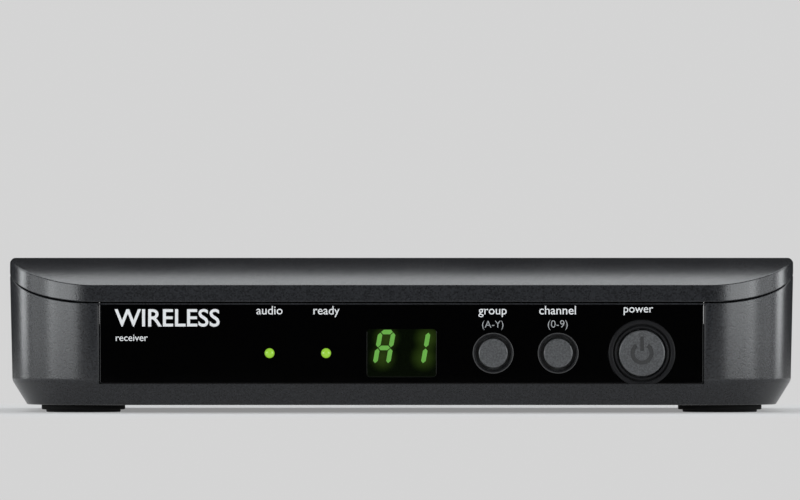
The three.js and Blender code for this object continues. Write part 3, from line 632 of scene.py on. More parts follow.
def axis_of(low: Vector, high: Vector) -> Pair:
    """X and Z of the middle of a box."""
    return (low.x + high.x) / 2, (low.z + high.z) / 2


def reach_of(low: Vector, high: Vector) -> float:
    """Half the width of a box along X."""
    return (high.x - low.x) / 2


def piece(bm: BMesh, role: Role) -> bpy.types.Object:
    """Turns a finished bmesh into a piece."""
    return settle(bare_object(bm, role.name), role)


def tidied(bm: BMesh) -> BMesh:
    """Merges doubled vertices and turns every normal outwards.

    Args:
        bm: The mesh.

    Returns:
        The same mesh.
    """
    bmesh.ops.remove_doubles(bm, verts=bm.verts[:], dist=MERGE)
    bmesh.ops.recalc_face_normals(bm, faces=bm.faces[:])
    return bm


def joined(solids: Iterable[BMesh]) -> BMesh:
    """One bmesh that holds several solids that don't touch.

    Args:
        solids: The solids, which are used up.

    Returns:
        The mesh that holds them all.
    """
    whole = bmesh.new()
    for solid in solids:
        mesh = bpy.data.meshes.new("part")
        solid.to_mesh(mesh)
        solid.free()
        whole.from_mesh(mesh)
        bpy.data.meshes.remove(mesh)
    return whole


def quarter(radius: float, steps: int) -> list[Pair]:
    """A quarter round's points, as how far in and how far along each one is."""
    angles = [math.pi / 2 * step / steps for step in range(steps + 1)]
    return [(radius * (1 - math.sin(a)), radius * (1 - math.cos(a))) for a in angles]


def rounded(corners: Sequence[Corner], steps: int = FILLET_STEPS) -> list[Pair]:
    """Rounds the corners of an open profile.

    Args:
        corners: Points, each with the radius of its corner where it is rounded.
        steps: Segments in each arc.

    Returns:
        The points of the rounded profile.
    """
    points: list[Pair] = []
    for i, (a, b, *radius) in enumerate(corners):
        if not radius or i in (0, len(corners) - 1):
            points.append((a, b))
            continue
        here = Vector((a, b))
        before = (Vector(corners[i - 1][:2]) - here).normalized()
        after = (Vector(corners[i + 1][:2]) - here).normalized()
        half = before.angle(after) / 2
        reach = radius[0] / math.tan(half)
        centre = here + (before + after).normalized() * (radius[0] / math.sin(half))
        start, end = here + before * reach - centre, here + after * reach - centre
        sweep = start.angle_signed(end)
        for step in range(steps + 1):
            arm = start.copy()
            arm.rotate(Matrix.Rotation(-sweep * step / steps, 2))
            points.append((centre.x + arm.x, centre.y + arm.y))
    return points


def turned(
    profile: Sequence[Pair], axis: Axis, centre: Pair, steps: int = ROUND_STEPS,
    closed: bool = False,
) -> BMesh:
    """A solid of revolution.

    Args:
        profile: Radius and height pairs, from axis to axis or round a closed ring.
        axis: The direction of its axis.
        centre: The axis's place, as X and Z for an axis along Y, or X and Y for one along Z.
        steps: Segments in the turn.
        closed: Whether the profile is a ring that joins up with itself.

    Returns:
        The closed solid.
    """
    bm = bmesh.new()
    if axis is Axis.Y:
        middle, along = Vector((centre[0], 0, centre[1])), Vector((0, 1, 0))
    else:
        middle, along = Vector((centre[0], centre[1], 0)), Vector((0, 0, 1))
    verts = [bm.verts.new(middle + Vector((r, 0, 0)) + along * h) for r, h in profile]
    pairs = list(zip(verts, verts[1:]))
    if closed:
        pairs.append((verts[-1], verts[0]))
    edges = [bm.edges.new(pair) for pair in pairs]
    bmesh.ops.spin(
        bm, geom=verts + edges, cent=middle, axis=along, angle=math.tau, steps=steps,
        use_merge=True,
    )
    return tidied(bm)


def rounded_block(
    low: Sequence[float], high: Sequence[float], radius: float = 0.0, steps: int = 3
) -> BMesh:
    """A box between two corners, with every edge rounded if it has a radius.

    Args:
        low: The corner with the lowest values.
        high: The corner with the highest.
        radius: Radius of its edges.
        steps: Segments in each edge's arc.

    Returns:
        The box.
    """
    bm = bmesh.new()
    bmesh.ops.create_cube(bm, size=1.0)
    middle = (Vector(low) + Vector(high)) / 2
    size = Vector(high) - Vector(low)
    bmesh.ops.scale(bm, vec=size, verts=bm.verts[:])
    bmesh.ops.translate(bm, vec=middle, verts=bm.verts[:])
    if radius:
        bmesh.ops.bevel(
            bm, geom=bm.edges[:], affect="EDGES", offset=radius, segments=steps, profile=0.5,
            material=-1,
        )
    return bm


@dataclass(frozen=True)
class Plate:
    """A flat plate that faces along Y, with round corners and a round front edge."""

    half_width: float
    low: float
    high: float
    front: float
    back: float
    corner: float
    edge: float = 0.0
    middle: float = 0.0

    def build(self) -> BMesh:
        """Makes the solid.

        Returns:
            The plate.
        """
        bm = bmesh.new()
        left, right = self.middle - self.half_width, self.middle + self.half_width
        places = [(left, self.low), (right, self.low), (right, self.high), (left, self.high)]
        face = bm.faces.new([bm.verts.new((x, self.back, z)) for x, z in places])
        bmesh.ops.bevel(
            bm, geom=face.verts[:], affect="VERTICES", offset=self.corner, segments=6,
            profile=0.5, material=-1,
        )
        pulled = bmesh.ops.extrude_face_region(bm, geom=bm.faces[:])["geom"]
        moved = [v for v in pulled if isinstance(v, BMVert)]
        bmesh.ops.translate(bm, vec=(0, self.front - self.back, 0), verts=moved)
        front = [f for f in pulled if isinstance(f, BMFace)]
        if self.edge:
            rim = {e for f in front for e in f.edges}
            bmesh.ops.bevel(
                bm, geom=list(rim), affect="EDGES", offset=self.edge, segments=3, profile=0.5,
                material=-1,
            )
        return tidied(bm)


def hole(radius: float, face: float, back: float, centre: Pair, lip: float) -> BMesh:
    """A cutter for a round hole along Y whose edge at the face is rounded off.

    Args:
        radius: Radius of the hole.
        face: Where the surface is that the hole starts at.
        back: Where the hole ends.
        centre: X and Z of its axis.
        lip: Radius of the rounded edge.

    Returns:
        The cutter.
    """
    way = math.copysign(1.0, back - face)
    outside = face - way * MM
    profile = [(0.0, outside), (radius + lip, outside), (radius + lip, face)]
    profile += [(radius + wider, face + way * deep) for wider, deep in quarter(lip, FILLET_STEPS)[1:]]
    profile += [(radius, back), (0.0, back)]
    return turned(profile, Axis.Y, centre)


# --- case -----------------------------------------------------------------------------


@dataclass(frozen=True)
class Station:
    """A point of the case's outline seen from above, with its outward direction."""

    x: float
    y: float
    out_x: float
    out_y: float


@dataclass(frozen=True)
class CaseSize:
    """The case's outline, its fall to the front lip and the seam under the cover."""

    half: float
    front: float
    rear: float
    top: float
    front_corner: float = 21 * MM
    rear_corner: float = 12 * MM
    wall: float = 2.2 * MM
    fall_depth: float = 29.5 * MM
    fall_drop: float = 6.8 * MM
    lip_height: float = 4.1 * MM
    seam_gap: float = 0.3 * MM
    seam_rise: float = 6.9 * MM
    seam_slope: float = 0.375
    seam_straight: float = 14 * MM
    seam_level: float = 24 * MM
    draft: float = 0.6 * MM
    underside: float = 1.75 * MM
    chamfer_rise: float = 5.75 * MM
    chamfer_run: float = 3.61 * MM
    front_steps: int = 22
    rear_steps: int = 12
    side_cuts: int = 35

    @property
    def seam_front(self) -> float:
        """Height of the seam at the front lip."""
        return self.top - self.fall_drop - self.lip_height

    @property
    def seam_side(self) -> float:
        """Height of the seam along the sides."""
        return self.seam_front + self.seam_rise

    @property
    def crease(self) -> float:
        """Height where the wall turns into the chamfer."""
        return self.underside + self.chamfer_rise

    def seam(self, y: float) -> float:
        """Height of the middle of the seam at a place along Y.

        Args:
            y: The place.

        Returns:
            Its height, which rises in a line from the lip, then curves over to level.
        """
        depth = y - self.front
        if depth <= self.seam_straight:
            return self.seam_front + self.seam_slope * depth
        if depth >= self.seam_level:
            return self.seam_side
        risen = self.seam_slope * self.seam_straight
        control = self.seam_straight + (self.seam_rise - risen) / self.seam_slope
        a = self.seam_straight - 2 * control + self.seam_level
        b = 2 * (control - self.seam_straight)
        c = self.seam_straight - depth
        t = (-b + math.sqrt(b * b - 4 * a * c)) / (2 * a)
        start = self.seam_front + risen
        return (1 - t) ** 2 * start + (1 - (1 - t) ** 2) * self.seam_side

    def surface(self, y: float) -> Pair:
        """Height and forward slope of the top surface at a place along Y.

        Args:
            y: The place.

        Returns:
            The height, and the slope as fall over run.
        """
        short = self.front + self.fall_depth - y
        if short <= 0:
            return self.top, 0.0
        radius = (self.fall_depth**2 + self.fall_drop**2) / (2 * self.fall_drop)
        level = math.sqrt(radius**2 - short**2)
        return self.top - radius + level, short / level

    def lean(self, z: float) -> float:
        """How far the wall of the tub has leaned in at a height."""
        return self.draft * (self.seam_side - z) / (self.seam_side - self.crease)

    def outline(self, bm: BMesh) -> tuple[list[BMVert], list[Station]]:
        """Draws the case's outline as one ring of vertices.

        Args:
            bm: Where it is drawn.

        Returns:
            The ring and the station of each of its vertices.
        """
        places = [(-self.half, self.front), (self.half, self.front),
                  (self.half, self.rear), (-self.half, self.rear)]
        face = bm.faces.new([bm.verts.new((x, y, 0)) for x, y in places])
        for end, radius, steps in (
            (self.front, self.front_corner, self.front_steps),
            (self.rear, self.rear_corner, self.rear_steps),
        ):
            corners = [v for v in bm.verts if abs(v.co.y - end) < MERGE]
            bmesh.ops.bevel(
                bm, geom=corners, affect="VERTICES", offset=radius, segments=steps, profile=0.5,
                material=-1,
            )
        sides = [e for e in bm.edges if abs(e.verts[0].co.x - e.verts[1].co.x) < MERGE
                 and e.calc_length() > self.front_corner]
        bmesh.ops.bisect_edges(bm, edges=sides, cuts=self.side_cuts)
        face = bm.faces[:][0]
        ring = list(face.verts)
        bmesh.ops.delete(bm, geom=[face], context="FACES_ONLY")
        return ring, [self.station(v.co) for v in ring]

    def station(self, place: Vector) -> Station:
        """The outline's place and outward direction at one of its points.

        Args:
            place: The point.

        Returns:
            The station there.
        """
        corner = self.front_corner if place.y < 0 else self.rear_corner
        x = max(corner - self.half, min(self.half - corner, place.x))
        y = max(self.front + self.front_corner, min(self.rear - self.rear_corner, place.y))
        out = Vector((place.x - x, place.y - y)).normalized()
        return Station(place.x, place.y, out.x, out.y)


Level = Callable[[Station], Pair]


class Shell:
    """A closed skin that is grown ring by ring from the case's outline."""

    def __init__(self, size: CaseSize) -> None:
        """Starts with the outline.

        Args:
            size: The case.
        """
        self.size = size
        self.bm = bmesh.new()
        self.ring, self.stations = size.outline(self.bm)
        self.started = False

    def level(self, at: Level) -> None:
        """Adds one ring.

        Args:
            at: Gives the inset and the height at a station.
        """
        if self.started:
            self.grow()
        for vert, station in zip(self.ring, self.stations):
            inset, height = at(station)
            vert.co = (station.x - station.out_x * inset, station.y - station.out_y * inset, height)
        if not self.started:
            self.started = True
            self.cap()

    def grow(self) -> None:
        """Extrudes the ring's edges and moves on to the new ring."""
        edges = [self.bm.edges.get(pair) for pair in zip(self.ring, self.ring[1:] + self.ring[:1])]
        made = bmesh.ops.extrude_edge_only(self.bm, edges=edges)["geom"]
        fresh = {v for v in made if isinstance(v, BMVert)}
        self.ring = [
            next(e.other_vert(v) for e in v.link_edges if e.other_vert(v) in fresh)
            for v in self.ring
        ]

    def cap(self) -> None:
        """Closes the ring with strips that follow its heights from front to rear."""
        face = self.bm.faces.new(self.ring)
        geom = [face, *face.edges, *face.verts]
        rows = sorted({round(v.co.y, 7) for v in self.ring})
        for y in rows[1:-1]:
            made = bmesh.ops.bisect_plane(
                self.bm, geom=geom, dist=MERGE * 5, plane_co=(0, y, 0), plane_no=(0, 1, 0))
            geom = made["geom"]

    def close(self) -> BMesh:
        """Caps the last ring and gives the finished solid."""
        self.cap()
        return tidied(self.bm)


def ramp(value: float, start: float, end: float) -> float:
    """A smooth step from 0 at start to 1 at end."""
    share = max(0.0, min(1.0, (value - start) / (end - start)))
    return share * share * (3 - 2 * share)


@dataclass(frozen=True)
class TopCover:
    """The cover with its rounded fall to the front lip and the rim that hangs inside the tub."""

    size: CaseSize
    lip_edge: float = 0.28 * MM
    lip_lean: float = 0.05  # of the front lip, from upright
    side_edge: float = 0.8 * MM
    lip_drop: float = 0.05 * MM
    seam_edge: float = 0.25 * MM
    tongue_in: float = 2.4 * MM
    tongue_thick: float = 1.0 * MM
    tongue_drop: float = 1.6 * MM
    tongue_ramp: float = 5 * MM
    edge_steps: int = 7

    def build(self) -> None:
        """Makes the cover."""
        size = self.size
        low = size.seam_gap / 2
        shell = Shell(size)
        inner = self.tongue_in + self.tongue_thick
        shell.level(lambda s: (inner, size.surface(s.y)[0] - size.wall))
        shell.level(lambda s: (inner, self.tongue(s)))
        shell.level(lambda s: (self.tongue_in, self.tongue(s)))
        shell.level(lambda s: (self.tongue_in, size.seam(s.y) + low))
        for inset, rise in quarter(self.seam_edge, SEAM_STEPS):
            shell.level(lambda s, inset=inset, rise=low + rise: (inset, size.seam(s.y) + rise))
        for step in range(self.edge_steps + 1):
            shell.level(lambda s, step=step: self.edge(s, step / self.edge_steps))
        piece(shell.close(), Role("cover", CASE_PLASTIC, ("top_cover",)))

    def tongue(self, station: Station) -> float:
        """Height of the hanging rim's lower end, which is only there behind the fall.

        Args:
            station: Where on the outline.

        Returns:
            The height.
        """
        start = self.size.front + self.size.seam_level
        drop = self.tongue_drop * ramp(station.y, start, start + self.tongue_ramp)
        return self.size.seam(station.y) + self.size.seam_gap / 2 - max(drop, self.lip_drop)

    def edge(self, station: Station, share: float) -> Pair:
        """A point of the rounded edge between the wall and the top.

        Args:
            station: Where on the outline.
            share: From 0 on the wall to 1 on the top.

        Returns:
            Its inset and height.
        """
        size = self.size
        depth = station.y - size.front
        radius = self.lip_edge + (self.side_edge - self.lip_edge) * ramp(depth, 0, size.fall_depth)
        height, slope = size.surface(station.y)
        fall = math.atan(max(0.0, -station.out_y) * slope)
        middle = height + math.tan(fall) * radius - radius / math.cos(fall)
        angle = share * (math.pi / 2 - fall)
        lean = self.lip_lean * max(0.0, -station.out_y) * (middle - size.seam(station.y))
        return lean + radius * (1 - math.cos(angle)), middle + radius * math.sin(angle)


@dataclass(frozen=True)
class LowerCase:
    """The tub, with openings for both panels and sunk screw holes in its floor."""

    size: CaseSize
    screws: tuple[Pair, ...]
    seam_edge: float = 0.25 * MM
    crease_round: float = 0.35 * MM
    floor: float = 2.2 * MM
    boss: float = 4 * MM
    boss_top: float = 16 * MM
    sink: float = 3.4 * MM
    sink_depth: float = 4 * MM
    bore: float = 1.65 * MM
    opening_fit: float = 0.07 * MM
    end_fit: float = 0.18 * MM
    rim: float = 0.4 * MM
    opening_straight: float = 0.1 * MM
    opening_flare: float = 0.6
    bends: tuple[Pair, ...] = (  # how far over the crease and how far in, as shares of its round
        (2.0, 0.0), (1.0, 0.01), (0.25, 0.12))
    chamfer_rings: tuple[float, ...] = (0.06, 0.1, 0.93, 0.97)  # shares of the chamfer's run
    foot_bend: Pair = (0.1 * MM, 0.05 * MM)  # in and up, just before the wall meets the floor
    foot_round: float = 0.45 * MM
    mouth: tuple[Pair, ...] = (  # how far out and up each point of a sunk hole's rounded edge is
        (0.6 * MM, -0.02 * MM), (0.15 * MM, 0.15 * MM), (0.0, 0.5 * MM))

    def build(self) -> None:
        """Makes the tub."""
        made = bare_object(self.skin(), "base")
        combine(made, joined(self.bosses()), Join.ADD)
        combine(made, joined([*self.sinks(), *self.openings()]), Join.CUT)
        settle(made, Role("base", CASE_PLASTIC, ("lower_case",)))

    def skin(self) -> BMesh:
        """The closed tub, before it is cut.

        Returns:
            The solid.
        """
        size = self.size
        run, rise, low = size.chamfer_run, size.chamfer_rise, size.underside
        inner_floor = low + self.floor
        shell = Shell(size)
        foot = size.wall + size.draft
        shell.level(lambda s: (foot + run, inner_floor))
        shell.level(lambda s: (foot, inner_floor + rise))
        shell.level(lambda s: (size.wall, self.rim_top(s)))
        for inset, drop in quarter(self.seam_edge, SEAM_STEPS):
            shell.level(lambda s, inset=inset, drop=drop: self.wall_point(
                self.rim_top(s) - drop, inset))
        for over, inward in self.bends:
            shell.level(lambda s, over=over, inward=inward: self.wall_point(
                size.crease + over * self.crease_round, inward * self.crease_round))
        for share in self.chamfer_rings:
            shell.level(lambda s, share=share: (size.draft + run * share, size.crease - rise * share))
        shell.level(lambda s: (size.draft + run + self.foot_bend[0], low + self.foot_bend[1]))
        shell.level(lambda s: (size.draft + run + self.foot_round, low))
        return shell.close()

    def rim_top(self, station: Station) -> float:
        """Height of the tub's rim."""
        return self.size.seam(station.y) - self.size.seam_gap / 2

    def wall_point(self, height: float, inset: float = 0.0) -> Pair:
        """The leaning wall's inset at a height, moved in a little."""
        return self.size.lean(height) + inset, height

    def bosses(self) -> list[BMesh]:
        """The posts that the case screws run through.

        Returns:
            One solid for each screw.
        """
        start = self.size.underside + self.floor / 2
        profile = [(0.0, start), (self.boss, start), (self.boss, self.boss_top), (0.0, self.boss_top)]
        return [turned(profile, Axis.Z, place, SMALL_STEPS) for place in self.screws]

    def sinks(self) -> list[BMesh]:
        """Cutters for the sunk holes, with a rounded edge at the floor.

        Returns:
            One cutter for each screw.
        """
        low = self.size.underside
        top = low + self.sink_depth
        edge = [(self.sink + out, low + up) for out, up in self.mouth]
        profile = [(0.0, low - MM), (edge[0][0], low - MM), *edge, (self.sink, top), (self.bore, top),
                   (self.bore, self.boss_top + MM), (0.0, self.boss_top + MM)]
        return [turned(profile, Axis.Z, place, SMALL_STEPS) for place in self.screws]

    def openings(self) -> list[BMesh]:
        """Cutters for both panels' openings, flared where they meet the outside.

        Returns:
            The front cutter and the rear one.
        """
        made = []
        ends = (("front_panel", self.size.front, -1), ("rear_panel", self.size.rear, 1))
        for node, outer, way in ends:
            low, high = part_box(node)
            face, back = (low.y, high.y) if way < 0 else (high.y, low.y)
            bm = rounded_block(
                (low.x - self.end_fit, min(face, back - way * MM), low.z - self.opening_fit),
                (high.x + self.end_fit, max(face, back - way * MM), high.z + self.opening_fit))
            outward = [f for f in bm.faces if round(f.normal.y) == way]
            mouth = outer + way * self.rim
            straight = self.opening_straight
            for reach, wider in ((face + way * straight, 0.0), (mouth, abs(mouth - face) - straight)):
                pulled = bmesh.ops.extrude_face_region(bm, geom=outward)["geom"]
                bmesh.ops.delete(bm, geom=outward, context="FACES_ONLY")
                outward = [f for f in pulled if isinstance(f, BMFace)]
                for v in {v for f in outward for v in f.verts}:
                    v.co.y = reach
                    v.co.x += math.copysign(wider * self.opening_flare, v.co.x)
            made.append(tidied(bm))
        return made


@dataclass(frozen=True)
class Foot:
    """A round rubber foot with a wider shoulder and a pad."""

    side: str
    end: str
    groove: float = 0.12 * MM
    shoulder: float = 1.1 * MM
    step: float = 0.6 * MM

    def build(self) -> None:
        """Makes the foot."""
        node = f"foot_{self.end}_{self.side}"
        low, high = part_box(node)
        centre = ((low.x + high.x) / 2, (low.y + high.y) / 2)
        wide = reach_of(low, high)
        pad = wide - self.shoulder
        profile = rounded([
            (0, low.z + self.groove),
            (pad * 0.55, low.z + self.groove, 0.1 * MM),
            (pad * 0.6, low.z, 0.1 * MM),
            (pad, low.z, 0.25 * MM),
            (pad, low.z + self.step, 0.1 * MM),
            (wide, low.z + self.step, 0.3 * MM),
            (wide, high.z),
            (0, high.z),
        ])
        role = Role(f"pad_{self.end}_{self.side}", FOOT_RUBBER, (node,))
        piece(turned(profile, Axis.Z, centre), role)


@dataclass(frozen=True)
class CaseScrew:
    """A pan-head screw with a cross recess, sunk in the floor."""

    node: str
    recess: float = 1.1 * MM
    recess_width: float = 0.75 * MM
    recess_depth: float = 1.1 * MM
    shank: float = 1.5 * MM
    root: float = 0.8  # radius at the bottom of the thread, as a share of the shank's
    pitch: float = 1.1 * MM
    head_height: float = 2.2 * MM
    point: float = 1.5 * MM

    def build(self) -> Pair:
        """Makes the screw.

        Returns:
            X and Y of its axis.
        """
        low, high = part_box(self.node)
        x, y = (low.x + high.x) / 2, (low.y + high.y) / 2
        head, seat = reach_of(low, high), low.z + self.head_height
        corners: list[Corner] = [
            (0, low.z), (head, low.z, 1.0 * MM), (head, seat, 0.15 * MM), (self.shank, seat)]
        thread = seat + MM
        while thread < high.z - self.point - MM:
            corners += [(self.shank * self.root, thread), (self.shank, thread + self.pitch / 2)]
            thread += self.pitch
        corners += [(self.shank * self.root, high.z - self.point), (0, high.z)]
        made = bare_object(turned(rounded(corners), Axis.Z, (x, y), SMALL_STEPS), self.node + "_head")
        middle = Vector((x, y, low.z))
        below, above = Vector((0, 0, -MM)), Vector((0, 0, self.recess_depth))
        long, short = self.recess, self.recess_width / 2
        for across in (Vector((long, short, 0)), Vector((short, long, 0))):
            combine(made, rounded_block(middle - across + below, middle + across + above), Join.CUT)
        settle(made, Role(made.name, STEEL, (self.node,)))
        return x, y


# --- front ----------------------------------------------------------------------------


@dataclass(frozen=True)
class RoundControl:
    """A push button in a ring, in the front panel."""

    name: str
    ring_edge: float = 0.2 * MM
    button_edge: float = 0.3 * MM
    dish: float = 0.08 * MM
    collar: Pair | None = None  # outer and inner radius of the groove in a wide ring
    collar_lip: float = 0.65 * MM
    collar_sunk: float = 0.25 * MM
    collar_round: float = 0.22 * MM
    collar_back: float = 0.6 * MM
    groove_depth: float = 1.2 * MM
    gap: float = 0.74 * MM  # from the ring's inside to the button's face
    fit: float = 0.06 * MM
    ring_flange: float = 0.98 * MM
    button_flange: float = 0.8 * MM
    overlap: float = 0.2 * MM
    rim_width: float = 0.22 * MM
    rim_proud: float = 0.06 * MM
    rim_depth: float = 0.3 * MM

    @property
    def centre(self) -> Pair:
        """X and Z of its axis."""
        return axis_of(*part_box(f"{self.name}_button"))

    @property
    def hole_radius(self) -> float:
        """Radius of the panel's hole for its ring."""
        barrel = reach_of(*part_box(f"{self.name}_ring")) - MM
        return barrel + (self.fit if self.collar else -self.fit)

    def build(self, panel_bottom: float) -> None:
        """Makes the ring and the button.

        Args:
            panel_bottom: Height of the panel's lower edge, where the ring is cut off.
        """
        self.ring(panel_bottom)
        self.button()

    def ring(self, panel_bottom: float) -> None:
        """Makes the ring, with a flange behind the panel.

        Args:
            panel_bottom: Height of the panel's lower edge, where the ring is cut off.
        """
        low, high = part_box(f"{self.name}_ring")
        outer, inner = self.hole_radius - self.fit, self.inner()
        back, front = high.y, low.y
        corners: list[Corner] = [
            (inner, back),
            (inner, front, self.ring_edge),
            (outer, front, self.ring_edge),
            (outer, back - MM),
            (outer + self.ring_flange, back - MM),
            (outer + self.ring_flange, back),
        ]
        if self.collar:
            groove_out, groove_in = self.collar
            lip, sunk = groove_in - self.collar_lip, front + self.collar_sunk
            corners[:2] = [
                (lip, back - self.collar_back),
                (lip, sunk, self.collar_round),
                (groove_in, sunk, self.collar_round),
                (groove_in, front + self.groove_depth),
                (groove_out, front + self.groove_depth),
                (groove_out, front, self.ring_edge),
            ]
        bm = turned(rounded(corners), Axis.Y, self.centre, closed=True)
        if low.z < panel_bottom + MERGE * 100 and self.centre[1] - outer < panel_bottom:
            cut = bmesh.ops.bisect_plane(
                bm, geom=[*bm.verts, *bm.edges, *bm.faces], dist=MERGE,
                plane_co=(0, 0, panel_bottom), plane_no=(0, 0, -1), clear_outer=True)["geom_cut"]
            edges = [e for e in cut if isinstance(e, bmesh.types.BMEdge)]
            bmesh.ops.holes_fill(bm, edges=edges, sides=0)
            bmesh.ops.recalc_face_normals(bm, faces=bm.faces[:])
        # The ring's dark finish is painted shade.
        piece(bm, Role(f"{self.name}_bezel", RING_PAINTED_SHADE, (f"{self.name}_ring",)))
        if not self.collar:
            self.rim(outer, front)

    def rim(self, outer: float, front: float) -> None:
        """Makes the thin pale line round the ring's outer edge: a real raised edge in a paler copy of
        the button plastic, a painted highlight.

        Args:
            outer: Outer radius of the ring.
            front: Where the ring's face is.
        """
        section = [
            (outer - self.rim_width, front + self.rim_depth),
            (outer - self.rim_width, front - self.rim_proud, self.rim_proud),
            (outer, front - self.rim_proud, self.rim_proud),
            (outer, front + self.rim_depth),
        ]
        bm = turned(rounded(section), Axis.Y, self.centre, closed=True)
        piece(bm, Role(f"{self.name}_rim", RIM_PAINTED_HIGHLIGHT))

    def inner(self) -> float:
        """Inner radius of the ring, which overlaps the button's flange."""
        return reach_of(*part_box(f"{self.name}_button")) - self.overlap

    def button(self) -> None:
        """Makes the button."""
        low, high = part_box(f"{self.name}_button")
        radius, flange = self.inner() - self.gap, reach_of(low, high)
        corners = [
            (0, low.y + self.dish),
            (radius * 0.5, low.y + self.dish * 0.7),
            (radius, low.y, self.button_edge),
            (radius, high.y - self.button_flange),
            (flange, high.y - self.button_flange),
            (flange, high.y),
            (0, high.y),
        ]
        bm = turned(rounded(corners), Axis.Y, self.centre)
        made = bare_object(bm, f"{self.name}_cap")
        role = Role(made.name, BUTTON_PLASTIC, (f"{self.name}_button",), f"{self.name}_button_body")
        if self.collar:
            PowerMark(self.centre, low.y + self.dish, role.body).engrave(made)
        settle(made, role)


@dataclass(frozen=True)
class PowerMark:
    """The on and off sign in a button's face: a broken ring and a bar."""

    centre: Pair
    face: float
    body: str
    outer: float = 2.75 * MM
    inner: float = 1.75 * MM
    gap: float = math.radians(36)  # from the vertical to each end of the ring
    bar: float = 0.42 * MM
    bar_low: float = 0.5 * MM
    bar_high: float = 3.95 * MM
    depth: float = 0.2 * MM
    # The darker slab on the engraving's floor is painted shade.
    shade_slab_thick: float = 0.06 * MM
    shade_slab_sunk: float = 0.02 * MM
    shade_slab_gap: float = 0.01 * MM
    steps: int = 48

    def shape(self, front: float, back: float, grow: float) -> list[BMesh]:
        """The sign's two solids.

        Args:
            front: Where they start.
            back: Where they end.
            grow: How much wider they are than the sign.

        Returns:
            The broken ring and the bar.
        """
        x, z = self.centre
        ring = bmesh.new()
        start = Vector((math.sin(self.gap), 0, math.cos(self.gap)))
        places = [(self.inner - grow, front), (self.outer + grow, front),
                  (self.outer + grow, back), (self.inner - grow, back)]
        middle = Vector((x, 0, z))
        verts = [ring.verts.new(middle + start * r + Vector((0, y, 0))) for r, y in places]
        face = ring.faces.new(verts)
        bmesh.ops.spin(
            ring, geom=[face, *face.edges, *face.verts], cent=middle, axis=(0, 1, 0),
            angle=math.tau - 2 * self.gap, steps=self.steps, use_duplicate=False)
        low = (x - self.bar - grow, min(front, back), z + self.bar_low)
        high = (x + self.bar + grow, max(front, back), z + self.bar_high)
        return [tidied(ring), rounded_block(low, high)]

    def engrave(self, button: bpy.types.Object) -> None:
        """Cuts the sign into a button and lays a darker floor in it, painted shade in the engraving.

        Args:
            button: The button's object.
        """
        outside, floor = self.face - MM, self.face + self.depth
        for tool in self.shape(outside, floor, 0.0):
            combine(button, tool, Join.CUT)
        shade_slab = joined(self.shape(
            floor - self.shade_slab_thick, floor + self.shade_slab_sunk, -self.shade_slab_gap))
        piece(shade_slab, Role("power_mark_shade", MARK_PAINTED_SHADE, body=self.body))


@dataclass(frozen=True)
class Lamp:
    """An indicator lamp's lens, which stands a little out of the panel."""

    name: str
    hole_radius: float = 1.16 * MM
    shoulder: float = 0.55 * MM
    crown: float = 0.45 * MM
    barrel: float = 2.6 * MM
    dome_steps: int = 8

    @property
    def centre(self) -> Pair:
        """X and Z of its axis."""
        return axis_of(*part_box(self.name))

    def build(self) -> None:
        """Makes the lens."""
        low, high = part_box(self.name)
        skirt, back = reach_of(low, high), low.y + self.barrel
        radius = skirt - self.shoulder
        angles = [math.pi / 2 * step / self.dome_steps for step in range(self.dome_steps + 1)]
        dome = [(radius * math.sin(a), low.y + self.crown * (1 - math.cos(a))) for a in angles]
        profile = [*dome, (radius, back), (skirt, back), (skirt, high.y), (0, high.y)]
        role = Role(f"{self.name}_lens", LAMP_LIT, (self.name,))
        piece(turned(profile, Axis.Y, self.centre, SMALL_STEPS), role)


@dataclass(frozen=True)
class Segments:
    """A pair of slanted seven-segment characters in the display window."""

    shown: tuple[tuple[str, float], ...] = (("abcefg", -4.11 * MM), ("bc", 4.18 * MM))
    width: float = 4.15 * MM
    height: float = 8.6 * MM
    stroke: float = 1.08 * MM
    gap: float = 0.15 * MM
    slant: float = math.tan(math.radians(10))
    proud: float = 0.03 * MM
    rise: float = 1.25 * MM

    def build(self, centre: Pair, face: float) -> None:
        """Makes every lit bar.

        Args:
            centre: X and Z of the middle of the window.
            face: Where the window's surface is.
        """
        x, z = centre
        bars = [self.bar(letter, x + offset, z + self.rise, face) for letters, offset in self.shown
                for letter in letters]
        piece(joined(bars), Role("lit_segments", SEGMENT_LIT))

    def bar(self, letter: str, x: float, z: float, face: float) -> BMesh:
        """One bar with pointed ends.

        Args:
            letter: Which of the seven bars.
            x: Middle of the character.
            z: Middle of the character.
            face: Where the window's surface is.

        Returns:
            The bar's solid.
        """
        half = self.stroke / 2
        wide, tall = self.width / 2 - half, self.height / 2 - half
        ends = {
            "a": ((-wide, tall), (wide, tall)),
            "b": ((wide, tall), (wide, 0)),
            "c": ((wide, 0), (wide, -tall)),
            "d": ((-wide, -tall), (wide, -tall)),
            "e": ((-wide, -tall), (-wide, 0)),
            "f": ((-wide, 0), (-wide, tall)),
            "g": ((-wide, 0), (wide, 0)),
        }[letter]
        start, end = Vector(ends[0]), Vector(ends[1])
        along = (end - start).normalized()
        across = Vector((-along.y, along.x)) * half
        start, end = start + along * self.gap, end - along * self.gap
        shoulder = along * half
        flat = [start, start + shoulder + across, end - shoulder + across,
                end, end - shoulder - across, start + shoulder - across]
        bm = bmesh.new()
        places = [(x + p.x + p.y * self.slant, face + self.proud, z + p.y) for p in flat]
        flat_bar = bm.faces.new([bm.verts.new(p) for p in places])
        pulled = bmesh.ops.extrude_face_region(bm, geom=[flat_bar])["geom"]
        bmesh.ops.translate(
            bm, vec=(0, -2 * self.proud, 0), verts=[v for v in pulled if isinstance(v, BMVert)])
        return tidied(bm)


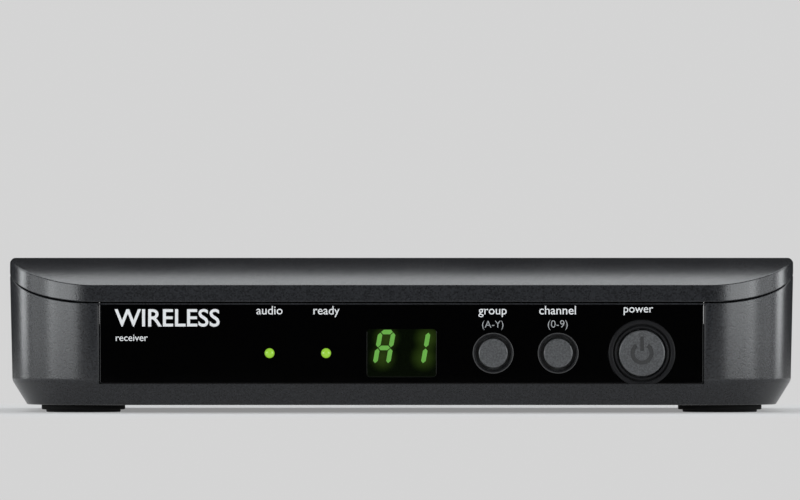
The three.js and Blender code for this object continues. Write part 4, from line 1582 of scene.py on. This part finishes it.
@dataclass(frozen=True)
class Label:
    """A word printed on the front panel."""

    name: str
    text: str
    x: float
    baseline: float
    width: float
    align: str = "CENTER"
    weight: float = 0.004
    ink: Ink = PRINT
    thickness: float = 0.004  # like the weight, in the font's own size
    curve_steps: int = 4

    def build(self, face: float) -> None:
        """Prints the word.

        Args:
            face: Where the panel's surface is.
        """
        curve = bpy.data.curves.new(self.name, "FONT")
        curve.body = self.text
        curve.align_x = self.align
        curve.extrude = self.thickness
        curve.offset = self.weight
        curve.resolution_u = self.curve_steps
        draft = bpy.data.objects.new(self.name + "_draft", curve)
        bpy.context.scene.collection.objects.link(draft)
        graph = bpy.context.evaluated_depsgraph_get()
        mesh = bpy.data.meshes.new_from_object(draft.evaluated_get(graph))
        bpy.data.objects.remove(draft)
        wide = max(v.co.x for v in mesh.vertices) - min(v.co.x for v in mesh.vertices)
        scale = self.width / wide
        shift = Matrix.Translation((self.x, face, self.baseline))
        mesh.transform(shift @ Matrix.Rotation(math.pi / 2, 4, "X") @ Matrix.Scale(scale, 4))
        bm = bmesh.new()
        bm.from_mesh(mesh)
        bpy.data.meshes.remove(mesh)
        piece(tidied(bm), Role(self.name, self.ink))


@dataclass
class FrontPanel:
    """The gloss panel with everything that sits in it."""

    corner: float = 0.6 * MM
    edge: float = 0.15 * MM
    hole_lip: float = 0.06 * MM
    window_fit: float = 0.08 * MM
    window_corner: float = 0.9 * MM
    window_edge: float = 0.12 * MM
    window_hole_corner: float = 0.95 * MM
    window_colour: RGB = (0.001, 0.002, 0.0006)
    glow_up: float = 2.3 * MM  # of the two glows behind each character, from its middle
    glow_aside: float = 1.5 * MM  # of those behind a character that is only its right half
    lines: Pair = (23.3 * MM, 20.15 * MM)  # heights of the two lines of words over the controls
    nudge: float = 0.1 * MM  # of the words over the two small buttons, to the left
    left: float = -67.9 * MM  # where the words at the left end start
    light: float = -0.006  # weight of the pale words
    heavy: float = 0.014  # weight of the large one
    lamps: tuple[Lamp, ...] = (Lamp("audio_led"), Lamp("ready_led"))
    controls: tuple[RoundControl, ...] = (
        RoundControl("group"),
        RoundControl("channel"),
        RoundControl("power", collar=(6.85 * MM, 6.45 * MM), gap=1.05 * MM),
    )

    def __post_init__(self) -> None:
        """Finds where the panel is."""
        self.low, self.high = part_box("front_panel")

    def build(self) -> None:
        """Makes the panel, its window, lamps and buttons, and prints its words."""
        self.plate()
        self.window()
        for lamp in self.lamps:
            lamp.build()
        for control in self.controls:
            control.build(self.low.z)
        self.print_words()

    def plate(self) -> None:
        """Makes the panel itself."""
        low, high = self.low, self.high
        blank = Plate(high.x, low.z, high.z, low.y, high.y, self.corner, self.edge)
        made = bare_object(blank.build(), "panel")
        behind, lip, fit = high.y + MM, self.hole_lip, self.window_fit
        window_low, window_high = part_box("display_window")
        window = Plate(
            reach_of(window_low, window_high) + fit, window_low.z - fit, window_high.z + fit,
            low.y - MM, behind, self.window_hole_corner, middle=axis_of(window_low, window_high)[0])
        tools = [window.build()]
        tools += [hole(lamp.hole_radius, low.y, behind, lamp.centre, lip / 2) for lamp in self.lamps]
        tools += [hole(c.hole_radius, low.y, behind, c.centre, lip) for c in self.controls]
        combine(made, joined(tools), Join.CUT)
        settle(made, Role("panel", PANEL_GLOSS, ("front_panel",)))

    def window(self) -> None:
        """Makes the display window and its lit characters."""
        low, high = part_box("display_window")
        centre = axis_of(low, high)
        plate = Plate(
            reach_of(low, high), low.z, high.z, low.y, high.y, self.window_corner,
            self.window_edge, centre[0])
        segments = Segments()
        lit = []
        for letters, x in segments.shown:
            aside = 0 if "a" in letters else self.glow_aside
            lit += [(centre[0] + x + aside + up * segments.slant, centre[1] + segments.rise + up)
                    for up in (-self.glow_up, self.glow_up)]
        tint = Window("window_tint", "window_tint", self.window_colour, lit=tuple(lit))
        piece(plate.build(), Role("window", tint, ("display_window",)))
        segments.build(centre, low.y)

    def print_words(self) -> None:
        """Prints the plain words over the controls and at the left end."""
        group, channel, power = (c.centre[0] for c in self.controls)
        audio, ready = (lamp.centre[0] for lamp in self.lamps)
        group, channel = group - self.nudge, channel - self.nudge
        first, second = self.lines
        pale = {"weight": self.light, "ink": PALE_PRINT}
        words = [
            Label("word_audio", "audio", audio, first, 6.2 * MM),
            Label("word_ready", "ready", ready, first, 6.2 * MM),
            Label("word_group", "group", group, first, 6.7 * MM),
            Label("range_group", "(A-Y)", group, second, 5.05 * MM, **pale),
            Label("word_channel", "channel", channel, first, 8.7 * MM),
            Label("range_channel", "(0-9)", channel, second, 4.7 * MM, **pale),
            Label("word_power", "power", power - 0.9 * MM, first + 0.45 * MM, 7.0 * MM),
            Label("word_kind", "WIRELESS", self.left, 20.5 * MM, 24.9 * MM, "LEFT", self.heavy),
            Label("word_role", "receiver", self.left, 17.0 * MM, 7.6 * MM, "LEFT"),
        ]
        for word in words:
            word.build(self.low.y)


# --- rear -----------------------------------------------------------------------------


@dataclass
class RearPanel:
    """The rear panel with its balanced output, phone output and power inlet."""

    corner: float = 0.6 * MM
    edge: float = 0.2 * MM
    xlr_hole: float = 9.95 * MM
    xlr_bore: float = 8.4 * MM
    xlr_barrel: float = 9.75 * MM
    xlr_flange: float = 1.2 * MM
    insert_overlap: float = 0.05 * MM  # with the shell, so that no light gets through
    insert_step: float = 0.3 * MM
    pin_gap: float = 0.15 * MM
    pin_neck: float = 0.92  # of the pin's radius
    phone_hole: float = 4.9 * MM
    phone_bore: float = 3.25 * MM
    thread_pitch: float = 0.7 * MM
    thread_depth: float = 0.25 * MM
    nut_fit: float = 0.02 * MM
    inlet_hole: float = 4.15 * MM
    inlet_height: float = 14.55 * MM
    inlet_pin: float = 1.05 * MM
    inlet_bore: float = 3.15 * MM
    inlet_depth: float = 9 * MM
    inlet_mouth: float = 0.4 * MM

    def __post_init__(self) -> None:
        """Finds the panel and its sockets."""
        self.low, self.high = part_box("rear_panel")
        self.xlr_low, self.xlr_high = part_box("xlr_shell")
        self.nut_low, self.nut_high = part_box("phone_jack_nut")
        self.dc_low, self.dc_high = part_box("dc_jack")

    @property
    def inlet_centre(self) -> Pair:
        """X and Z of the power inlet's axis."""
        return axis_of(self.dc_low, self.dc_high)[0], self.inlet_height

    def build(self) -> None:
        """Makes the panel and every socket."""
        self.plate()
        self.xlr()
        self.phone()
        self.inlet()

    def plate(self) -> None:
        """Makes the panel itself."""
        low, high = self.low, self.high
        blank = Plate(high.x, low.z, high.z, high.y, low.y, self.corner, self.edge)
        made = bare_object(blank.build(), "rear_plate")
        places = (
            (self.xlr_hole, axis_of(self.xlr_low, self.xlr_high)),
            (self.phone_hole, axis_of(self.nut_low, self.nut_high)),
            (self.inlet_hole, self.inlet_centre),
        )
        tools = [hole(radius, high.y, low.y - MM, centre, self.edge) for radius, centre in places]
        combine(made, joined(tools), Join.CUT)
        settle(made, Role("rear_plate", REAR_PLASTIC, ("rear_panel",)))

    def xlr(self) -> None:
        """Makes the balanced output's shell, insert and pins."""
        low, high = self.xlr_low, self.xlr_high
        centre = axis_of(low, high)
        bore, outer, flange = self.xlr_bore, self.xlr_barrel, reach_of(low, high)
        face = self.high.y
        front = face + self.xlr_flange
        profile = rounded([
            (bore, low.y), (outer, low.y), (outer, face), (flange, face, 0.1 * MM),
            (flange, front, 0.5 * MM), (outer, front, 0.15 * MM),
            (outer, high.y, 0.35 * MM), (bore, high.y, 0.35 * MM), (bore, high.y - 2 * MM),
        ])
        cup = turned(profile, Axis.Y, centre, closed=True)
        piece(cup, Role("xlr_cup", BLACK_PLASTIC, ("xlr_shell",)))
        insert_low, insert_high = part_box("xlr_insert")
        reach, snug = reach_of(insert_low, insert_high), bore + self.insert_overlap
        flange_top, floor = insert_low.y + MM, insert_high.y - self.insert_step
        body = rounded([
            (0, insert_low.y), (snug, insert_low.y), (snug, flange_top), (reach, flange_top),
            (reach, insert_high.y, 0.3 * MM), (reach * 0.8, floor, 0.1 * MM), (0, floor),
        ])
        insert = bare_object(turned(body, Axis.Y, centre), "xlr_floor")
        for number in (1, 2, 3):
            node = f"xlr_pin_{number}"
            pin_low, pin_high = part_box(node)
            place, radius = axis_of(pin_low, pin_high), reach_of(pin_low, pin_high)
            gap = hole(radius + self.pin_gap, floor, insert_low.y - MM, place, self.pin_gap)
            combine(insert, gap, Join.CUT)
            neck, end = radius * self.pin_neck, pin_high.y
            pin = rounded([
                (0, pin_low.y), (radius, pin_low.y, 0.1 * MM), (radius, end - 3.2 * MM),
                (neck, end - 3 * MM), (neck, end - 2.7 * MM), (radius, end - 2.5 * MM),
                (radius, end, 0.8 * MM), (0, end),
            ])
            role = Role(f"xlr_contact_{number}", NICKEL, (node,))
            piece(turned(pin, Axis.Y, place, SMALL_STEPS), role)
        settle(insert, Role("xlr_floor", BLACK_PLASTIC, ("xlr_insert",)))

    def phone(self) -> None:
        """Makes the phone output's threaded bush and hexagonal nut."""
        low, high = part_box("phone_jack_bush")
        centre = axis_of(low, high)
        bore, outer = self.phone_bore, reach_of(low, high)
        corners: list[Corner] = [(bore, low.y), (outer, low.y)]
        thread = self.high.y - MM
        while thread < high.y - self.thread_pitch:
            corners += [
                (outer, thread), (outer - self.thread_depth, thread + self.thread_pitch / 2)]
            thread += self.thread_pitch
        corners += [
            (outer, high.y - 0.35 * MM), (outer - 0.3 * MM, high.y),
            (bore + 0.45 * MM, high.y, 0.15 * MM), (bore, high.y - 0.5 * MM)]
        bush = turned(rounded(corners), Axis.Y, centre, closed=True)
        piece(bush, Role("phone_bush", NICKEL, ("phone_jack_bush",)))
        face, end = self.nut_low.y, self.nut_high.y
        corner = max(
            reach_of(self.nut_low, self.nut_high), (self.nut_high.z - self.nut_low.z) / 2)
        flat = corner * math.cos(math.pi / 6)
        inside = outer + self.nut_fit
        blank = rounded([
            (inside, face), (flat * 1.04, face), (corner, face + 0.5 * MM),
            (corner, end - 0.5 * MM), (flat * 0.98, end), (outer + 0.5 * MM, end, 0.15 * MM),
            (inside, end - 0.4 * MM),
        ])
        nut = bare_object(turned(blank, Axis.Y, centre, closed=True), "phone_nut")
        prism = [(0.0, face - MM), (corner, face - MM), (corner, end + MM), (0.0, end + MM)]
        combine(nut, turned(prism, Axis.Y, centre, 6), Join.KEEP)
        settle(nut, Role("phone_nut", NICKEL, ("phone_jack_nut",)))

    def inlet(self) -> None:
        """Makes the power inlet: a block with a round socket and its pin."""
        low, high = self.dc_low, self.dc_high
        made = bare_object(rounded_block(low, high, 0.3 * MM), "power_inlet")
        bottom, outside = high.y - self.inlet_depth, high.y + MM
        pin, bore = self.inlet_pin, self.inlet_bore
        mouth = bore + self.inlet_mouth
        socket = [
            (0.0, high.y - 0.8 * MM), (pin * 0.4, high.y - 0.8 * MM), (pin, high.y - 1.3 * MM),
            (pin, bottom), (bore, bottom), (bore, high.y - self.inlet_mouth),
            (mouth, high.y + 0.01 * MM), (mouth, outside), (0.0, outside),
        ]
        combine(made, turned(socket, Axis.Y, self.inlet_centre), Join.CUT)
        settle(made, Role("power_inlet", BLACK_PLASTIC, ("dc_jack",)))


# --- what is inside -------------------------------------------------------------------


class Interior:
    """The CAD nodes that are shown as they are, each with its slot's finish."""

    FINISHES: dict[str, Finish] = {
        finish.slot: finish for finish in (
            BLACK_PLASTIC, LAMINATE, RIBBON, NICKEL, STEEL, BUTTON_PLASTIC, CASE_PLASTIC,
            PANEL_GLOSS, LAMP_LIT, FOOT_RUBBER,
        )
    }

    def build(self) -> None:
        """Gives each node that is still shown its material."""
        slots = {part["node"]: part["material_slot"] for part in frame["record"]["subparts"]}
        for name, node in frame["nodes"].items():
            if node.hide_render:
                continue
            node.data.materials.clear()
            node.data.materials.append(self.FINISHES[slots[name]].build())
            log.info("%s: kept from the frame", name)


# --- studio ---------------------------------------------------------------------------


@dataclass(frozen=True)
class Softbox:
    """A large soft light that the camera doesn't see."""

    name: str
    place: Place
    size: Pair
    power: float
    aim: Place = (0.0, 0.0, 0.02)
    colour: RGB = (0.95, 0.98, 1.0)

    def build(self) -> None:
        """Hangs the light."""
        lamp = bpy.data.lights.new(self.name, "AREA")
        lamp.color = self.colour
        lamp.shape = "RECTANGLE"
        lamp.size, lamp.size_y = self.size
        lamp.energy = self.power
        thing = bpy.data.objects.new(self.name, lamp)
        thing.location = self.place
        way = Vector(self.aim) - Vector(self.place)
        thing.rotation_euler = way.to_track_quat("-Z", "Y").to_euler()
        thing.visible_camera = False
        bpy.context.scene.collection.objects.link(thing)


def pair_of_lights(name: str, place: Place, size: Pair, power: float) -> list[Softbox]:
    """The same light at the left and at the right.

    Args:
        name: The end of both names.
        place: Where the right one hangs.
        size: Its width and height.
        power: Its power in watts.

    Returns:
        The left light and the right one.
    """
    x, y, z = place
    return [Softbox(f"{side}_{name}", (way * x, y, z), size, power)
            for side, way in (("left", -1), ("right", 1))]


@dataclass(frozen=True)
class Studio:
    """Floor, backdrop, lights and camera."""

    grey: float = 0.66
    camera: Place = (-0.38 * MM, -1549.5 * MM, 20 * MM)
    pitch: float = math.radians(0.708)
    lens: float = 285.0
    sensor: float = 36.0
    clip: Pair = (0.01, 20.0)
    world: float = 0.012
    floor_radius: float = 0.42
    floor_paint: float = 0.5
    floor_lift: float = 0.25
    fade: Pair = (0.13, 0.3)  # where the floor starts to turn into the backdrop's tone, and ends
    fade_shape: Place = (1.0, 1.8, 1.0)
    dome_radius: float = 5.0
    lights: tuple[Softbox, ...] = field(default_factory=lambda: (
        Softbox("rear_top", (0.0, 0.68, 1.33), (2.6, 0.95), 20.5, aim=(0.0, 0.0, 0.03)),
        *pair_of_lights("rear", (1.13, 0.41, 0.2), (0.3, 0.6), 3.3),
        *pair_of_lights("side", (1.25, -0.3, 0.2), (0.9, 0.5), 3.3),
        *pair_of_lights("front", (0.93, -0.9, 0.17), (0.95, 0.5), 7.8),
        Softbox("front_fill", (0.0, -1.0, 1.3), (1.6, 0.6), 3.0),
    ))

    def build(self) -> None:
        """Sets up the whole studio."""
        self.floor()
        self.backdrop()
        for light in self.lights:
            light.build()
        self.surroundings()
        self.viewpoint()

    def floor(self) -> None:
        """A pale floor that fades into the backdrop's tone away from the object."""
        bm = bmesh.new()
        bmesh.ops.create_circle(bm, cap_ends=True, segments=96, radius=self.floor_radius)
        made = bare_object(bm, "floor")
        graph = Graph("floor_paint")
        away = graph.maths("MULTIPLY", graph.place, self.fade_shape, kind="VectorMath").outputs[0]
        far = graph.maths("LENGTH", away, kind="VectorMath").outputs["Value"]
        fade = graph.spread(far, 0.0, 1.0, *self.fade, "SMOOTHSTEP")
        plain = graph.node("ShaderNodeEmission", {"Color": (self.grey,) * 3})
        paint = graph.node("ShaderNodeBsdfDiffuse", {"Color": (self.floor_paint,) * 3})
        lift = graph.node("ShaderNodeEmission", {"Color": (self.floor_lift,) * 3})
        near = graph.node("ShaderNodeAddShader", {0: paint.outputs[0], 1: lift.outputs[0]})
        mixed = graph.node("ShaderNodeMixShader", {0: fade, 1: near.outputs[0], 2: plain.outputs[0]})
        graph.tree.links.new(mixed.outputs[0], graph.output.inputs["Surface"])
        made.data.materials.append(graph.material)

    def backdrop(self) -> None:
        """A plain dome that only the camera sees."""
        bm = bmesh.new()
        bmesh.ops.create_uvsphere(bm, u_segments=48, v_segments=24, radius=self.dome_radius)
        bmesh.ops.reverse_faces(bm, faces=bm.faces[:])
        made = bare_object(bm, "backdrop")
        graph = Graph("backdrop_paint")
        plain = graph.node("ShaderNodeEmission", {"Color": (self.grey,) * 3})
        graph.tree.links.new(plain.outputs[0], graph.output.inputs["Surface"])
        made.data.materials.append(graph.material)
        made.visible_diffuse = False
        made.visible_glossy = False
        made.visible_transmission = False
        made.visible_shadow = False

    def surroundings(self) -> None:
        """Low even light from everywhere."""
        world = bpy.data.worlds.new("room")
        world.use_nodes = True
        ground = world.node_tree.nodes["Background"]
        ground.inputs["Color"].default_value = (1.0, 1.0, 1.0, 1.0)
        ground.inputs["Strength"].default_value = self.world
        bpy.context.scene.world = world

    def viewpoint(self) -> None:
        """The camera, straight in front at a low height."""
        lens = bpy.data.cameras.new("camera")
        lens.lens = self.lens
        lens.sensor_width = self.sensor
        lens.clip_start, lens.clip_end = self.clip
        made = bpy.data.objects.new("camera", lens)
        made.location = self.camera
        made.rotation_euler = (math.pi / 2 + self.pitch, 0, 0)
        bpy.context.scene.collection.objects.link(made)
        bpy.context.scene.camera = made
        bpy.context.scene.view_settings.view_transform = "Standard"


def main() -> None:
    """Builds every piece round the frame, then the studio."""
    logging.basicConfig(level=logging.INFO, format="%(message)s")
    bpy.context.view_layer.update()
    low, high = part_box("top_cover")
    size = CaseSize(high.x, low.y, high.y, high.z)
    sides, ends = ("left", "right"), ("front", "rear")
    screws = tuple(
        CaseScrew(f"case_screw_{end}_{side}").build() for end in ends for side in sides)
    TopCover(size).build()
    LowerCase(size, screws).build()
    for side in sides:
        for end in ends:
            Foot(side, end).build()
    FrontPanel().build()
    RearPanel().build()
    Interior().build()
    Studio().build()


if __name__ == "__main__":
    main()
